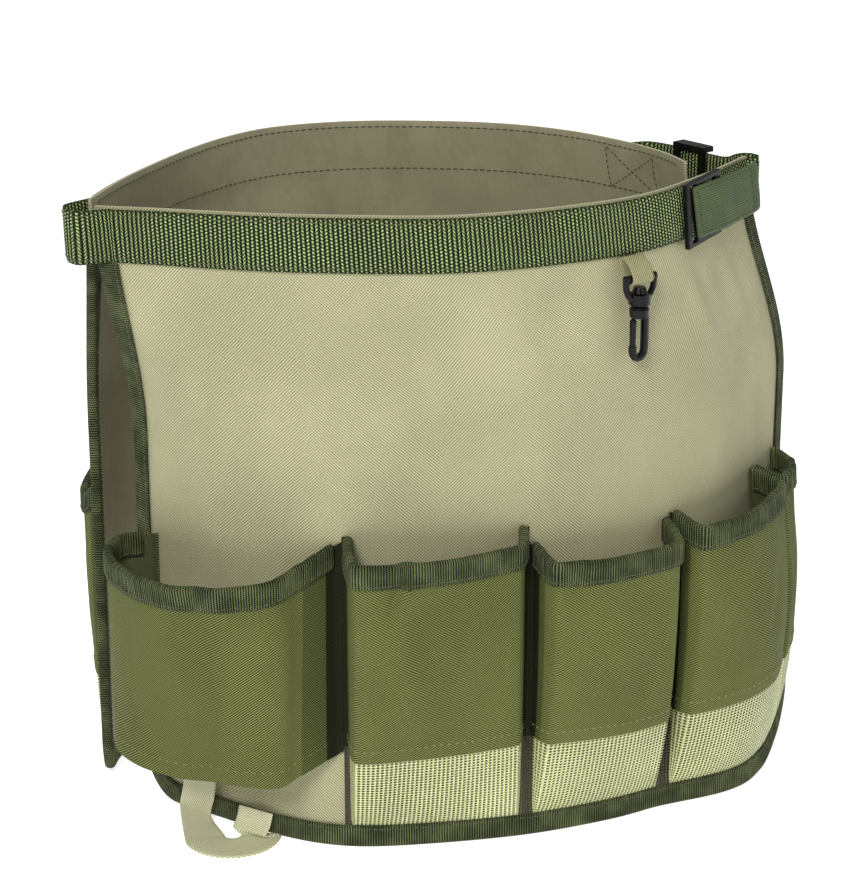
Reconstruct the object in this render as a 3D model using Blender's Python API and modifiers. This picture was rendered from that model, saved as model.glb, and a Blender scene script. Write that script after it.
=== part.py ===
"""Bucket-wrap garden tool bag.

Two coated-fabric panels (front and back) stand as an open tube, tied round the
top by a webbing belt that closes at the right with a buckle, a folded strap
tail and a strap slider.  Pockets run round the outside of both panels, a snap
hook hangs from the belt and a tool loop hangs at the front left hem.

Frame: millimetre values in the constants, metres in Blender, +Z up, front
faces -Y, origin at the middle of the footprint box on the floor.
"""
import math

import bmesh
import bpy
from mathutils import Matrix, Vector

MM = 0.001
NAME = "garden_tool_bag"

# ---------------------------------------------------------------- dimensions
PANEL_TOP = 306.0        # height of both panels
EDGE_OUT = 1.55          # how far an edge tape stands past the panel edge
PANEL_BOTTOM = EDGE_OUT  # so the hem tape is what touches the floor
PANEL_T = 1.6            # panel fabric with its coating and hem
CLEAR = 0.5              # gap between the panel and what is sewn on it
TAPE_T = 0.8             # binding tape
TAPE_GAP = 0.75          # gap inside a folded binding
BIND_W = 10.0            # visible width of the binding tape
POCKET_T = 1.2           # pocket fabric
BELT_Z0, BELT_Z1 = 280.3, 305.1
BELT_T = 1.8
CORNER_R = 25.0          # rounded lower corners of both panels
WAIST_Z = 190.0          # above this the walls draw in towards the belt
FLARE_Z = 150.0          # below this the hems spread a little
SEAM_Z = 52.5            # where the pocket cloth changes to open mesh
POCKET_FOOT_Z = 12.7     # lower end of the pocket mesh, just above the hem tape
CENTRE = (31.1, 105.5)   # middle of the footprint, taken to the origin

# Plan of each panel's outer face, left to right, at the belt and below the waist
FRONT_TOP = ((-140, 54), (-117, 44), (-76, 24.5), (-34, 9.5), (8, -1), (53, 1.5), (99, 15), (137, 43), (173, 78))
FRONT_LOW = ((-121, 86), (-110, 66), (-88, 45), (-62, 26), (-36, 12), (-4, 6), (44, 3.5), (85, 8), (113, 15.5), (140, 28), (160, 44.5), (177.5, 65), (192.5, 83.5), (204.5, 100))
BACK_TOP = ((-141, 67), (-125, 97), (-105, 127.5), (-81, 159), (-56, 184), (-30, 198.5), (8, 202), (50, 192), (84, 176), (110, 152), (128, 123), (138, 98), (142, 74))
BACK_LOW = ((-140, 104), (-133, 132), (-112, 163), (-78, 188), (-35, 202), (15, 206), (66, 200), (113, 184), (154, 160), (184, 136), (203.5, 111))

# Big open-bottomed sleeve pocket at the front left: plan of its inner face
SLEEVE_TOP = ((-130.5, 76), (-139, 65), (-138, 47), (-126, 24), (-104, 9), (-76, 4), (-60, 9))
SLEEVE_LOW = ((-130.5, 75), (-139, 60), (-132, 40), (-116, 24), (-97, 14), (-75, 3.5), (-63, 8))


# ---------------------------------------------------------------- plan curves
class Plan:
    """A smooth curve through plan points, read by distance along it."""

    def __init__(self, points, steps=24):
        p = [Vector((x, y)) for x, y in points]
        p = [2 * p[0] - p[1]] + p + [2 * p[-1] - p[-2]]
        self.line = []
        for i in range(1, len(p) - 2):
            for k in range(steps):
                self.line.append(self.blend(p[i - 1], p[i], p[i + 1], p[i + 2], k / steps))
        self.line.append(p[-2])
        self.run = [0.0]
        for a, b in zip(self.line, self.line[1:]):
            self.run.append(self.run[-1] + (b - a).length)
        self.length = self.run[-1]

    @staticmethod
    def blend(a, b, c, d, t):
        return 0.5 * ((2 * b) + (c - a) * t + (2 * a - 5 * b + 4 * c - d) * t * t + (3 * b - a - 3 * c + d) * t * t * t)

    def at(self, s):
        line, run = self.line, self.run
        if s <= 0:
            return line[0] + (line[1] - line[0]).normalized() * s
        if s >= self.length:
            return line[-1] + (line[-1] - line[-2]).normalized() * (s - self.length)
        lo, hi = 0, len(run) - 1
        while hi - lo > 1:
            mid = (lo + hi) // 2
            lo, hi = (mid, hi) if run[mid] <= s else (lo, mid)
        return line[lo].lerp(line[hi], (s - run[lo]) / (run[hi] - run[lo]))


def smooth(x):
    x = min(1.0, max(0.0, x))
    return x * x * (3 - 2 * x)


class Wall:
    """A panel's outer face: distance along its lower plan curve, and height."""

    def __init__(self, top, low, turn):
        self.top, self.low, self.turn = Plan(top), Plan(low), turn
        self.length = self.low.length

    def flat(self, d, z):
        q = d / self.length
        w = smooth((z - WAIST_Z) / (PANEL_TOP - WAIST_Z))
        xy = self.low.at(d).lerp(self.top.at(q * self.top.length), w)
        g = min(1.0, max(0.0, (FLARE_Z - z) / FLARE_Z))
        if self.turn > 0:      # the front's hem stands out at the right and back at the left
            right = smooth((d - 262) / 60)
            xy = xy + g * right * Vector((11.0, -11.0 + 12.0 * smooth((d - 335) / 50)))
            xy = xy + g * smooth((100 - d) / 75) * Vector((1.0, 11.0))
        else:
            xy = xy + g * smooth((d - self.length + 75) / 65) * Vector((9.0, 0.0))
        return Vector((xy.x, xy.y, z))

    def out(self, d, z):
        t = self.flat(d + 2, z) - self.flat(d - 2, z)
        u = self.flat(d, min(z + 2, PANEL_TOP)) - self.flat(d, z - 2)
        return self.turn * t.cross(u).normalized()

    def at(self, d, z, n=0.0):
        return self.flat(d, z) + n * self.out(d, z)

    def find_x(self, x, z=100.0):
        lo, hi = 0.0, self.length
        for _ in range(50):
            mid = (lo + hi) / 2
            lo, hi = (mid, hi) if self.flat(mid, z).x < x else (lo, mid)
        return (lo + hi) / 2


FRONT = Wall(FRONT_TOP, FRONT_LOW, 1)
BACK = Wall(BACK_TOP, BACK_LOW, -1)

# ---------------------------------------------------------------- scene set-up
for old in list(bpy.data.objects):
    bpy.data.objects.remove(old, do_unlink=True)

parts = bpy.data.collections.new(NAME)
cutters = bpy.data.collections.new(NAME + "_cutters")
bpy.context.scene.collection.children.link(parts)
bpy.context.scene.collection.children.link(cutters)
cutters.hide_render = True

PALETTE = {
    "khaki": ((0.42, 0.38, 0.22), 0.85, 0.0),
    "olive": ((0.10, 0.13, 0.045), 0.85, 0.0),
    "webbing": ((0.045, 0.075, 0.022), 0.8, 0.0),
    "binding": ((0.07, 0.10, 0.04), 0.85, 0.0),
    "mesh": ((0.45, 0.48, 0.17), 0.5, 0.0),
    "tape": ((0.38, 0.37, 0.20), 0.85, 0.0),
    "pad": ((0.07, 0.12, 0.045), 0.75, 0.0),
    "black": ((0.012, 0.012, 0.014), 0.3, 0.0),
    "white": ((0.8, 0.8, 0.78), 0.8, 0.0),
}


def material(kind, name):
    m = bpy.data.materials.new(name)
    m.use_nodes = True
    shade = m.node_tree.nodes["Principled BSDF"]
    colour, rough, metal = PALETTE[kind]
    shade.inputs["Base Color"].default_value = (*colour, 1)
    shade.inputs["Roughness"].default_value = rough
    shade.inputs["Metallic"].default_value = metal
    return m


def world(p):
    return Vector(((p[0] - CENTRE[0]) * MM, (p[1] - CENTRE[1]) * MM, p[2] * MM))


def new_object(name, verts, faces, kind, origin=None, where=None):
    """A mesh object with its origin at the given point (bag millimetres)."""
    at = world(origin) if origin is not None else Vector((0, 0, 0))
    mesh = bpy.data.meshes.new(name)
    mesh.from_pydata([world(v) - at for v in verts], [], faces)
    bm = bmesh.new()
    bm.from_mesh(mesh)
    if where is None or kind == "closed":
        bmesh.ops.recalc_face_normals(bm, faces=bm.faces)
    bm.to_mesh(mesh)
    bm.free()
    obj = bpy.data.objects.new(name, mesh)
    obj.location = at
    parts.objects.link(obj)
    return obj


def paint(obj, kind):
    obj.data.materials.clear()
    obj.data.materials.append(material(kind, obj.name))
    return obj


def sheet(name, rows, thick, kind, outwards=True):
    """An open loft through rows of points, thickened by Solidify.  Rows go up,
    points go left to right as seen from outside."""
    verts = [p for row in rows for p in row]
    n = len(rows[0])
    faces = []
    for j in range(len(rows) - 1):
        for i in range(n - 1):
            a = j * n + i
            faces.append((a, a + 1, a + n + 1, a + n))
    mesh = bpy.data.meshes.new(name)
    mesh.from_pydata([world(v) for v in verts], [], faces)
    obj = bpy.data.objects.new(name, mesh)
    parts.objects.link(obj)
    shell = obj.modifiers.new("thickness", "SOLIDIFY")
    shell.thickness = thick * MM
    shell.offset = 1.0 if outwards else -1.0
    shell.use_even_offset = True
    shell.use_rim = True
    return paint(obj, kind)


def loft(name, rings, kind, caps=None, origin=None):
    """A closed solid through rings of points; caps are faces of one ring."""
    n = len(rings[0])
    verts = [p for r in rings for p in r]
    faces = []
    for j in range(len(rings) - 1):
        for i in range(n):
            a, b = j * n + i, j * n + (i + 1) % n
            faces.append((a, b, b + n, a + n))
    caps = caps or [tuple(range(n))]
    last = (len(rings) - 1) * n
    for cap in caps:
        faces.append(tuple(reversed(cap)))
        faces.append(tuple(last + i for i in cap))
    return paint(new_object(name, verts, faces, kind, origin), kind)


def mitres(points):
    """Unit-ish sideways vector at each point of a plan polyline, to the right
    of the walk, lengthened at corners so that an offset keeps its distance."""
    out = []
    for i, p in enumerate(points):
        sides = []
        for a, b in ((i - 1, i), (i, i + 1)):
            if a >= 0 and b < len(points):
                d = Vector((points[b][0] - points[a][0], points[b][1] - points[a][1]))
                if d.length > 1e-9:
                    d.normalize()
                    sides.append(Vector((d.y, -d.x)))
        m = sides[0] if len(sides) == 1 else (sides[0] + sides[1]).normalized()
        m = m / max(0.5, m.dot(sides[0]))
        out.append(Vector((m.x, m.y, 0)))
    return out


def ribbon(name, lows, highs, thick, kind, right=True, origin=None):
    """A flat strap standing on edge: its lower and upper inner lines, and its
    thickness to the right (or left) of the walk."""
    sign = 1 if right else -1
    ml, mh = mitres(lows), mitres(highs)
    rings = []
    for a, b, u, v in zip(lows, highs, ml, mh):
        rings.append((a, a + sign * thick * u, b + sign * thick * v, b))
    return loft(name, rings, kind, origin=origin)


U_CAPS = [(0, 1, 6, 7), (1, 2, 5, 6), (2, 3, 4, 5)]


def folded_tape(name, stations, kind):
    """Binding folded over an edge.  Each station is (edge point, inward along
    the sheet, outward off the sheet, sheet thickness below the outer face)."""
    g, t, w = TAPE_GAP, TAPE_T, BIND_W
    rings = []
    for p, inward, out, thick in stations:
        def q(a, n):
            return p + a * inward + n * out
        o, i = g + t, -thick - g - t
        rings.append((q(w, o), q(-g - t, o), q(-g - t, i), q(w, i),
                      q(w, i + t), q(-g, i + t), q(-g, o - t), q(w, o - t)))
    return loft(name, rings, kind, caps=U_CAPS)


def edge_tape(name, wall, stations):
    """Binding over a panel's edge.  Each station is (distance, height, and the
    direction into the panel in those two)."""
    g, t, w = TAPE_GAP, TAPE_T, BIND_W
    o, i = g + t, -PANEL_T - g - t
    rings = []
    for d, z, du, dz in stations:
        ring = [wall.at(d + a * du, z + a * dz, n) for a, n in (
            (w, o), (-g - t, o), (-g - t, i), (w, i), (w, i + t), (-g, i + t), (-g, o - t), (w, o - t))]
        rings.append([Vector((p.x, p.y, max(p.z, 0.0))) for p in ring])      # flat on the floor
    return loft(name, rings, "binding", caps=U_CAPS)


def frange(a, b, n):
    return [a + (b - a) * k / (n - 1) for k in range(n)]


# ---------------------------------------------------------------- panels
PANEL_ROWS = (FLARE_Z - PANEL_BOTTOM, 190, 210, 228, 246, 264, BELT_Z0 - PANEL_BOTTOM)


def panel(name, wall, columns, kind):
    """The fabric panel: outer face lofted, thickened inwards, with rounded
    lower corners."""
    heights = []
    for k in range(5):
        f = math.radians(22.5 * k)
        heights.append((CORNER_R * (1 - math.cos(f)), CORNER_R * (1 - math.sin(f))))
    for z in PANEL_ROWS + (PANEL_TOP - PANEL_BOTTOM,):
        heights.append((z, 0.0))
    rows = []
    for z, inset in heights:
        z += PANEL_BOTTOM
        row = [wall.at(d, z, 0) for d in frange(inset, wall.length - inset, columns)]
        rows.append(row if wall.turn > 0 else row[::-1])
    return sheet(name, rows, PANEL_T, kind, outwards=False)


panel("front_panel", FRONT, 38, "khaki")
panel("back_panel", BACK, 42, "khaki")


def side_tape(name, wall, right):
    """Edge tape from under the belt down the side and round the corner."""
    stations = []
    way = -1 if right else 1
    for z in (BELT_Z0 - 1.0,) + tuple(PANEL_BOTTOM + h for h in PANEL_ROWS[-2::-1]) + (PANEL_BOTTOM + CORNER_R,):
        stations.append((wall.length if right else 0.0, z, way, 0.0))
    for k in range(1, 5):
        f = math.radians(90 - 22.5 * k)
        d, z = CORNER_R * (1 - math.sin(f)), PANEL_BOTTOM + CORNER_R * (1 - math.cos(f))
        d = wall.length - d if right else d
        stations.append((d, z, way * math.sin(f), math.cos(f)))
    return edge_tape(name, wall, stations)


def hem_tape(name, wall, count):
    stations = []
    for d in frange(CORNER_R + 0.5, wall.length - CORNER_R - 0.5, count):
        stations.append((d, PANEL_BOTTOM, 0.0, 1.0))
    return edge_tape(name, wall, stations)


side_tape("front_edge_tape_left", FRONT, False)
side_tape("front_edge_tape_right", FRONT, True)
side_tape("back_edge_tape_left", BACK, False)
side_tape("back_edge_tape_right", BACK, True)
hem_tape("front_hem_tape", FRONT, 34)
hem_tape("back_hem_tape", BACK, 38)


# ---------------------------------------------------------------- pockets
def fullness(z):
    """Share of a pocket's depth at this height: none at the hem, all of it by
    a third of the way up."""
    return max(0.0, math.sin(math.pi / 2 * min(1.0, (z - POCKET_FOOT_Z) / 95.0))) ** 0.75


def pocket_line(wall, z, d0, d1, n0, n1, in0, in1, crown, end0=False, end1=False):
    """Plan of a pocket's inner face at a height: foot, gusset, crease, face,
    crease, gusset, foot."""
    f = fullness(z)
    lean = 0.3 + 0.7 * f
    round_off = 9.0 * (1 - smooth((z - POCKET_FOOT_Z) / 16.0))   # past the corner tape
    d0, d1 = d0 + (round_off if end0 else 0.0), d1 - (round_off if end1 else 0.0)
    a0, a1 = d0 + 3.6 + (in0 - 3.6) * lean, d1 - 3.6 - (in1 - 3.6) * lean
    depth0, depth1 = CLEAR + (n0 - CLEAR) * f, CLEAR + (n1 - CLEAR) * f
    line = [wall.at(d0 + 0.8, z, CLEAR), wall.at(d0 + 3.4, z, CLEAR)]
    for k in range(7):
        s = k / 6
        line.append(wall.at(a0 + (a1 - a0) * s, z, depth0 + (depth1 - depth0) * s + crown * f * math.sin(math.pi * s)))
    line += [wall.at(d1 - 3.4, z, CLEAR), wall.at(d1 - 0.8, z, CLEAR)]
    return line


def mouth_tape(name, line, below, kind="binding"):
    """Binding over a pocket's mouth, from half way up one gusset to half way
    down the other."""
    def middle_part(l):
        return [l[1].lerp(l[2], 0.45)] + l[2:-2] + [l[-3].lerp(l[-2], 0.55)]
    pts = middle_part(line)
    stations = []
    for p, q, m in zip(pts, middle_part(below), mitres(pts)):
        stations.append((p + POCKET_T * m, (q - p).normalized(), m, POCKET_T))
    return folded_tape(name, stations, kind)


def pocket(name, wall, d0, d1, n0, n1, in0, in1, top0, top1, crown=2.5, end0=False, end1=False):
    """A pocket of cloth above and open mesh below, and its mouth tape."""
    shape = (d0, d1, n0, n1, in0, in1, crown, end0, end1)

    def row(z, lift=True):
        if lift:
            n = 11
            heights = [top0 + (top1 - top0) * k / (n - 1) - 1.2 * math.sin(math.pi * k / (n - 1)) for k in range(n)]
            lines = [pocket_line(wall, h, *shape)[k] for k, h in enumerate(heights)]
            return lines
        return pocket_line(wall, z, *shape)

    cloth = [row(z, False) for z in (SEAM_Z + 0.15, 75, 105, 128)] + [row(0)]
    mesh = [row(z, False) for z in (POCKET_FOOT_Z, 18, 28, 40, SEAM_Z - 0.15)]
    if wall.turn < 0:
        cloth, mesh = [r[::-1] for r in cloth], [r[::-1] for r in mesh]
    sheet(name + "_cloth", cloth, POCKET_T, "olive")
    sheet(name + "_mesh", mesh, POCKET_T, "mesh")
    mouth_tape(name + "_mouth_tape", cloth[-1], cloth[-2])


V1, V2, V3, V4 = FRONT.find_x(-39), FRONT.find_x(46), FRONT.find_x(118), FRONT.find_x(176.5, 150.0)
pocket("front_pocket_2", FRONT, V1, V2, 26, 13, 8, 8, 152, 153)
pocket("front_pocket_3", FRONT, V2, V3, 19, 19, 8, 8, 144, 146)
pocket("front_pocket_4", FRONT, V3, V4, 19, 16, 8, 3.6, 148, 149)
pocket("front_pocket_5", FRONT, V4, FRONT.length - 11.5, 15, 11, 5, 4, 149, 149, crown=1.0, end1=True)

STEP = (BACK.length - 24.0) / 5
for i in range(5):
    a = 12.0 + i * STEP
    first, last = i == 0, i == 4
    pocket("back_pocket_%d" % (i + 1), BACK, a, a + STEP,
           4.5 if first else 20, 13 if last else 20, 7, 3 if last else 8,
           146 if i % 2 else 148, 148 if i % 2 else 146, end0=first, end1=last)


# Big sleeve pocket: sewn down its two sides, open at the top and the bottom
def sleeve_line(z, z_top, z_low):
    s = min(1.0, max(0.0, (z - z_low) / (z_top - z_low)))
    body = [Vector((*Vector(a).lerp(Vector(b), s), z)) for a, b in zip(SLEEVE_LOW, SLEEVE_TOP)]
    left = [FRONT.at(15.5, z, CLEAR + POCKET_T), FRONT.at(12.6, z, CLEAR + POCKET_T)]
    right = [FRONT.at(V1 - 3.4, z, CLEAR), FRONT.at(V1 - 0.8, z, CLEAR)]
    return left + body + right


SLEEVE_MOUTH = (143, 142, 141, 139, 138, 137.5, 138, 140, 144, 147, 149)
SLEEVE_HEM = (47, 46, 44, 42, 41, 40, 40, 39.5, 41.5, 48, 50)
sleeve_rows = []
for share in (0.0, 0.22, 0.45, 0.7, 1.0):
    row = []
    for k, (lo, hi) in enumerate(zip(SLEEVE_HEM, SLEEVE_MOUTH)):
        z = lo + (hi - lo) * share
        row.append(sleeve_line(z, 143, 42)[k])
    sleeve_rows.append(row)
sheet("front_sleeve_pocket_cloth", sleeve_rows, POCKET_T, "olive")
mouth_tape("front_sleeve_pocket_mouth_tape", sleeve_rows[-1], sleeve_rows[-2])

# Blank care label, over the panel's edge behind the sleeve pocket
label = []
for d in (-4.5, -1.2, 2.2, 5.5):
    label.append((FRONT.at(d, 109, 2.15), FRONT.at(d, 109, 2.75), FRONT.at(d, 132, 2.75), FRONT.at(d, 132, 2.15)))
loft("care_label", label, "white")


# ---------------------------------------------------------------- belt
BUCKLE_D = FRONT.find_x(133.5, 293.0)        # centre of the buckle along the front
BUCKLE_OUT = (FRONT.out(BUCKLE_D, 293.0) * Vector((1, 1, 0))).normalized()
BUCKLE_RIGHT = Vector((-BUCKLE_OUT.y, BUCKLE_OUT.x, 0))
BUCKLE_AT = FRONT.at(BUCKLE_D, 292.7, 0)
BUCKLE_UP = (FRONT.flat(BUCKLE_D, BELT_Z1) - FRONT.flat(BUCKLE_D, BELT_Z0)).normalized()
BUCKLE_OUT = BUCKLE_RIGHT.cross(BUCKLE_UP).normalized()
BUCKLE_N0, BUCKLE_N1 = 4.0, 6.8              # buckle frame off the panel face
SLOT_U = -10.4                                # where the strap folds through


def buckle_point(u, z, n):
    return BUCKLE_AT + u * BUCKLE_RIGHT + n * BUCKLE_OUT + (z - 292.7) * BUCKLE_UP


def d_of_buckle(u):
    return FRONT.find_x(buckle_point(u, 293, 0).x, 293.0)


CORNER_LEFT = ((-146.5, 50.6), (-150.4, 53.6), (-151.6, 58.6), (-150.2, 64.0))
belt_low, belt_high = [], []
for d in frange(d_of_buckle(SLOT_U - 2.2), 6.0, 32):
    belt_low.append(FRONT.at(d, BELT_Z0, CLEAR))
    belt_high.append(FRONT.at(d, BELT_Z1, CLEAR))
for x, y in CORNER_LEFT:
    belt_low.append(Vector((x + 0.8, y + 1.2, BELT_Z0)))
    belt_high.append(Vector((x, y, BELT_Z1)))
BELT_END = BACK.find_x(127.0, 293.0)
for d in frange(5.0, BELT_END, 34):
    belt_low.append(BACK.at(d, BELT_Z0, CLEAR))
    belt_high.append(BACK.at(d, BELT_Z1, CLEAR))
ribbon("belt_webbing", belt_low, belt_high, BELT_T, "webbing", right=False)

# Closure strap: from the sewn box on the back panel, out through the slider,
# round the front panel's right end and forward to the buckle
SLIDE_A, SLIDE_B = Vector((146.5, 115.0)), Vector((161.0, 86.0))
STRAP_TURN = ((162.6, 83.2), (164.8, 82.0), (167.4, 82.6), (169.8, 84.8), (172.8, 87.0), (176.8, 87.8), (179.6, 84.8), (179.2, 80.8))
strap_low, strap_high = [], []
for d in frange(BELT_END + 1.0, BELT_END + 6.0, 3):
    for line, z in ((strap_low, BELT_Z0), (strap_high, BELT_Z1)):
        line.append(BACK.at(d, z, CLEAR))
middle = [(139.4, 123.4)] + [tuple(SLIDE_A.lerp(SLIDE_B, s)) for s in (0, 0.5, 1)] + list(STRAP_TURN)
for x, y in middle:
    for line, z in ((strap_low, BELT_Z0), (strap_high, BELT_Z1)):
        line.append(Vector((x, y, z)))
for d in frange(FRONT.length - 3.0, d_of_buckle(SLOT_U + 2.6), 7):
    strap_low.append(FRONT.at(d, BELT_Z0, CLEAR))
    strap_high.append(FRONT.at(d, BELT_Z1, CLEAR))
for u, n in ((SLOT_U - 0.9, CLEAR), (SLOT_U - 0.9, BUCKLE_N1 - 0.9)):
    strap_low.append(buckle_point(u, BELT_Z0, n))
    strap_high.append(buckle_point(u, BELT_Z1, n))
ribbon("closure_strap", strap_low, strap_high, BELT_T, "webbing", right=False)

# Strap tail with its fastening pad, folded back over the buckle
TAIL_N = BUCKLE_N1 + 0.4
tail_low, tail_high = [], []
for u, n in ((SLOT_U - 0.9, TAIL_N), (-4, TAIL_N), (5, TAIL_N), (15, TAIL_N)):
    tail_low.append(buckle_point(u, BELT_Z0, n))
    tail_high.append(buckle_point(u, BELT_Z1, n))
for d, n in ((FRONT.length - 16, 6.7), (FRONT.length - 11, 6.2), (FRONT.length - 5, 5.6)):
    tail_low.append(FRONT.at(d, BELT_Z0, n))
    tail_high.append(FRONT.at(d, BELT_Z1, n))
TAIL_PIVOT = buckle_point(SLOT_U, 292.7, TAIL_N + BELT_T / 2)
ribbon("strap_tail", tail_low, tail_high, BELT_T, "pad", right=True, origin=TAIL_PIVOT)


# ---------------------------------------------------------------- hard pieces
def box_object(name, low, high, frame, where, bevel=0.0):
    """A box between two corners given in a local frame (mm)."""
    bm = bmesh.new()
    bmesh.ops.create_cube(bm, size=1.0)
    size = Vector([h - l for l, h in zip(low, high)])
    mid = Vector([(h + l) / 2 for l, h in zip(low, high)])
    for v in bm.verts:
        v.co = Vector([a * b for a, b in zip(v.co, size)]) * MM + mid * MM
    mesh = bpy.data.meshes.new(name)
    bm.to_mesh(mesh)
    bm.free()
    obj = bpy.data.objects.new(name, mesh)
    obj.matrix_world = frame
    where.objects.link(obj)
    return obj


def rod_object(name, a, b, r0, r1, frame, where, sides=14):
    """A round rod or cone between two points of a local frame (mm)."""
    a, b = Vector(a) * MM, Vector(b) * MM
    bm = bmesh.new()
    bmesh.ops.create_cone(bm, cap_ends=True, segments=sides, radius1=r0 * MM, radius2=r1 * MM, depth=(b - a).length)
    turn = (b - a).to_track_quat("Z", "Y").to_matrix().to_4x4()
    bmesh.ops.transform(bm, matrix=Matrix.Translation((a + b) / 2) @ turn, verts=bm.verts)
    mesh = bpy.data.meshes.new(name)
    bm.to_mesh(mesh)
    bm.free()
    obj = bpy.data.objects.new(name, mesh)
    obj.matrix_world = frame
    where.objects.link(obj)
    return obj


def ball_object(name, at, r, frame, where):
    bm = bmesh.new()
    bmesh.ops.create_uvsphere(bm, u_segments=14, v_segments=8, radius=r * MM)
    bmesh.ops.translate(bm, verts=bm.verts, vec=Vector(at) * MM)
    mesh = bpy.data.meshes.new(name)
    bm.to_mesh(mesh)
    bm.free()
    obj = bpy.data.objects.new(name, mesh)
    obj.matrix_world = frame
    where.objects.link(obj)
    return obj


def combine(obj, others, operation):
    for other in others:
        other.hide_render = True
        other.display_type = "WIRE"
        m = obj.modifiers.new(operation.lower(), "BOOLEAN")
        m.operation = operation
        m.object = other
        m.solver = "EXACT"


def local_frame(at, right, out, up=Vector((0, 0, 1))):
    """Axes: X to the right, Y into the bag, Z up."""
    m = Matrix.Identity(4)
    m.col[0][:3] = right.normalized()
    m.col[1][:3] = (-out).normalized()
    m.col[2][:3] = up
    m.translation = world(at)
    return m


# Buckle: flat frame with a slot for each strap, bars upright
frame = local_frame(BUCKLE_AT, BUCKLE_RIGHT, BUCKLE_OUT, BUCKLE_UP)
HALF = (BELT_Z1 - BELT_Z0) / 2 + 0.4
buckle = box_object("closure_buckle", (-16.5, -BUCKLE_N1, -HALF - 2.4), (14, -BUCKLE_N0, HALF + 2.4), frame, parts)
combine(buckle, [
    box_object("buckle_slot_1", (SLOT_U - 2.3, -BUCKLE_N1 - 2, -HALF), (SLOT_U + 2.3, 0, HALF + 1.2), frame, cutters),
    box_object("buckle_slot_2", (0.5, -BUCKLE_N1 - 2, -HALF), (9.8, 0, HALF), frame, cutters),
], "DIFFERENCE")
paint(buckle, "black")
round_edges = buckle.modifiers.new("edges", "BEVEL")
round_edges.width = 0.5 * MM
round_edges.segments = 1
round_edges.limit_method = "ANGLE"

# Slider: the strap runs straight through, behind its middle bar
slide_dir = Vector((*(SLIDE_B - SLIDE_A).normalized(), 0))
slide_out = Vector((-slide_dir.y, slide_dir.x, 0))       # away from the bag
slide_mid = Vector((*SLIDE_A.lerp(SLIDE_B, 0.5), 292.7)) + slide_out * (BELT_T / 2)
frame = local_frame(slide_mid, slide_dir, slide_out)
slider = box_object("strap_slider", (-10, -3.6, -HALF - 2.6), (10, 3.6, HALF + 2.6), frame, parts)
combine(slider, [
    box_object("slider_channel", (-14, -1.3, -HALF), (14, 1.3, HALF), frame, cutters),
    box_object("slider_front_left", (-14, -6, -HALF), (-2, -1.2, HALF), frame, cutters),
    box_object("slider_front_right", (2, -6, -HALF), (14, -1.2, HALF), frame, cutters),
    box_object("slider_back", (-6.8, 1.2, -HALF), (6.8, 6, HALF), frame, cutters),
], "DIFFERENCE")
paint(slider, "black")

# Snap hook: tape loop under the belt, base bar in the loop, swivelling hook
HOOK_D = FRONT.find_x(90.5, 280.0)
HOOK_OUT = (FRONT.out(HOOK_D, 275.0) * Vector((1, 1, 0))).normalized()
HOOK_RIGHT = Vector((-HOOK_OUT.y, HOOK_OUT.x, 0))
BAR_Z = 271.5
HOOK_N = 9.5
BAR_R = 1.7
foot = FRONT.at(HOOK_D, BAR_Z, 0)
HOOK_AT = Vector((foot.x, foot.y, BAR_Z)) + HOOK_N * HOOK_OUT
frame = local_frame(HOOK_AT, HOOK_RIGHT, HOOK_OUT)

# tape: down behind the bar, round it and up in front (n, z from the bar axis)
TAPE_W, LOOP_T = 11.6, 0.9
r = BAR_R + 0.35
path = [(-HOOK_N + 1.3, BELT_Z0 - 0.7 - BAR_Z), (-HOOK_N + 2.6, 5.4), (-4.6, 1.6)]
for k in range(9):
    f = math.radians(150 + 30 * k)
    path.append((r * math.cos(f), r * math.sin(f)))
path += [(-0.6, 4.6), (-4.0, 7.0), (-HOOK_N + 2.9, BELT_Z0 - 0.7 - BAR_Z)]
rings = []
for k, (n, z) in enumerate(path):
    a, b = path[max(0, k - 1)], path[min(len(path) - 1, k + 1)]
    t = Vector((b[0] - a[0], b[1] - a[1])).normalized()
    side = Vector((t.y, -t.x))                     # away from the bar
    ring = []
    for w, s in ((-1, 0), (1, 0), (1, 1), (-1, 1)):
        p = HOOK_AT + w * TAPE_W / 2 * HOOK_RIGHT + (n + s * LOOP_T * side.x) * HOOK_OUT
        ring.append(Vector((p.x, p.y, BAR_Z + z + s * LOOP_T * side.y)))
    rings.append(ring)
loft("hook_tape_loop", rings, "tape")

def curve_piece(name, points, radius, where):
    """A round bar along a smooth line, made a closed mesh for joining."""
    curve = bpy.data.curves.new(name, "CURVE")
    curve.dimensions = "3D"
    curve.bevel_depth = radius * MM
    curve.bevel_resolution = 2
    curve.use_fill_caps = True
    line = curve.splines.new("POLY")
    line.points.add(len(points) - 1)
    for p, q in zip(line.points, points):
        p.co = (*(Vector(q) * MM), 1)
    temp = bpy.data.objects.new(name + "_line", curve)
    bpy.context.scene.collection.objects.link(temp)
    bpy.context.view_layer.update()
    mesh = bpy.data.meshes.new_from_object(temp.evaluated_get(bpy.context.evaluated_depsgraph_get()))
    bm = bmesh.new()
    bm.from_mesh(mesh)
    bmesh.ops.remove_doubles(bm, verts=bm.verts, dist=1e-6)
    bm.to_mesh(mesh)
    bm.free()
    obj = bpy.data.objects.new(name, mesh)
    obj.matrix_world = frame
    where.objects.link(obj)
    bpy.data.objects.remove(temp, do_unlink=True)
    return obj


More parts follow.
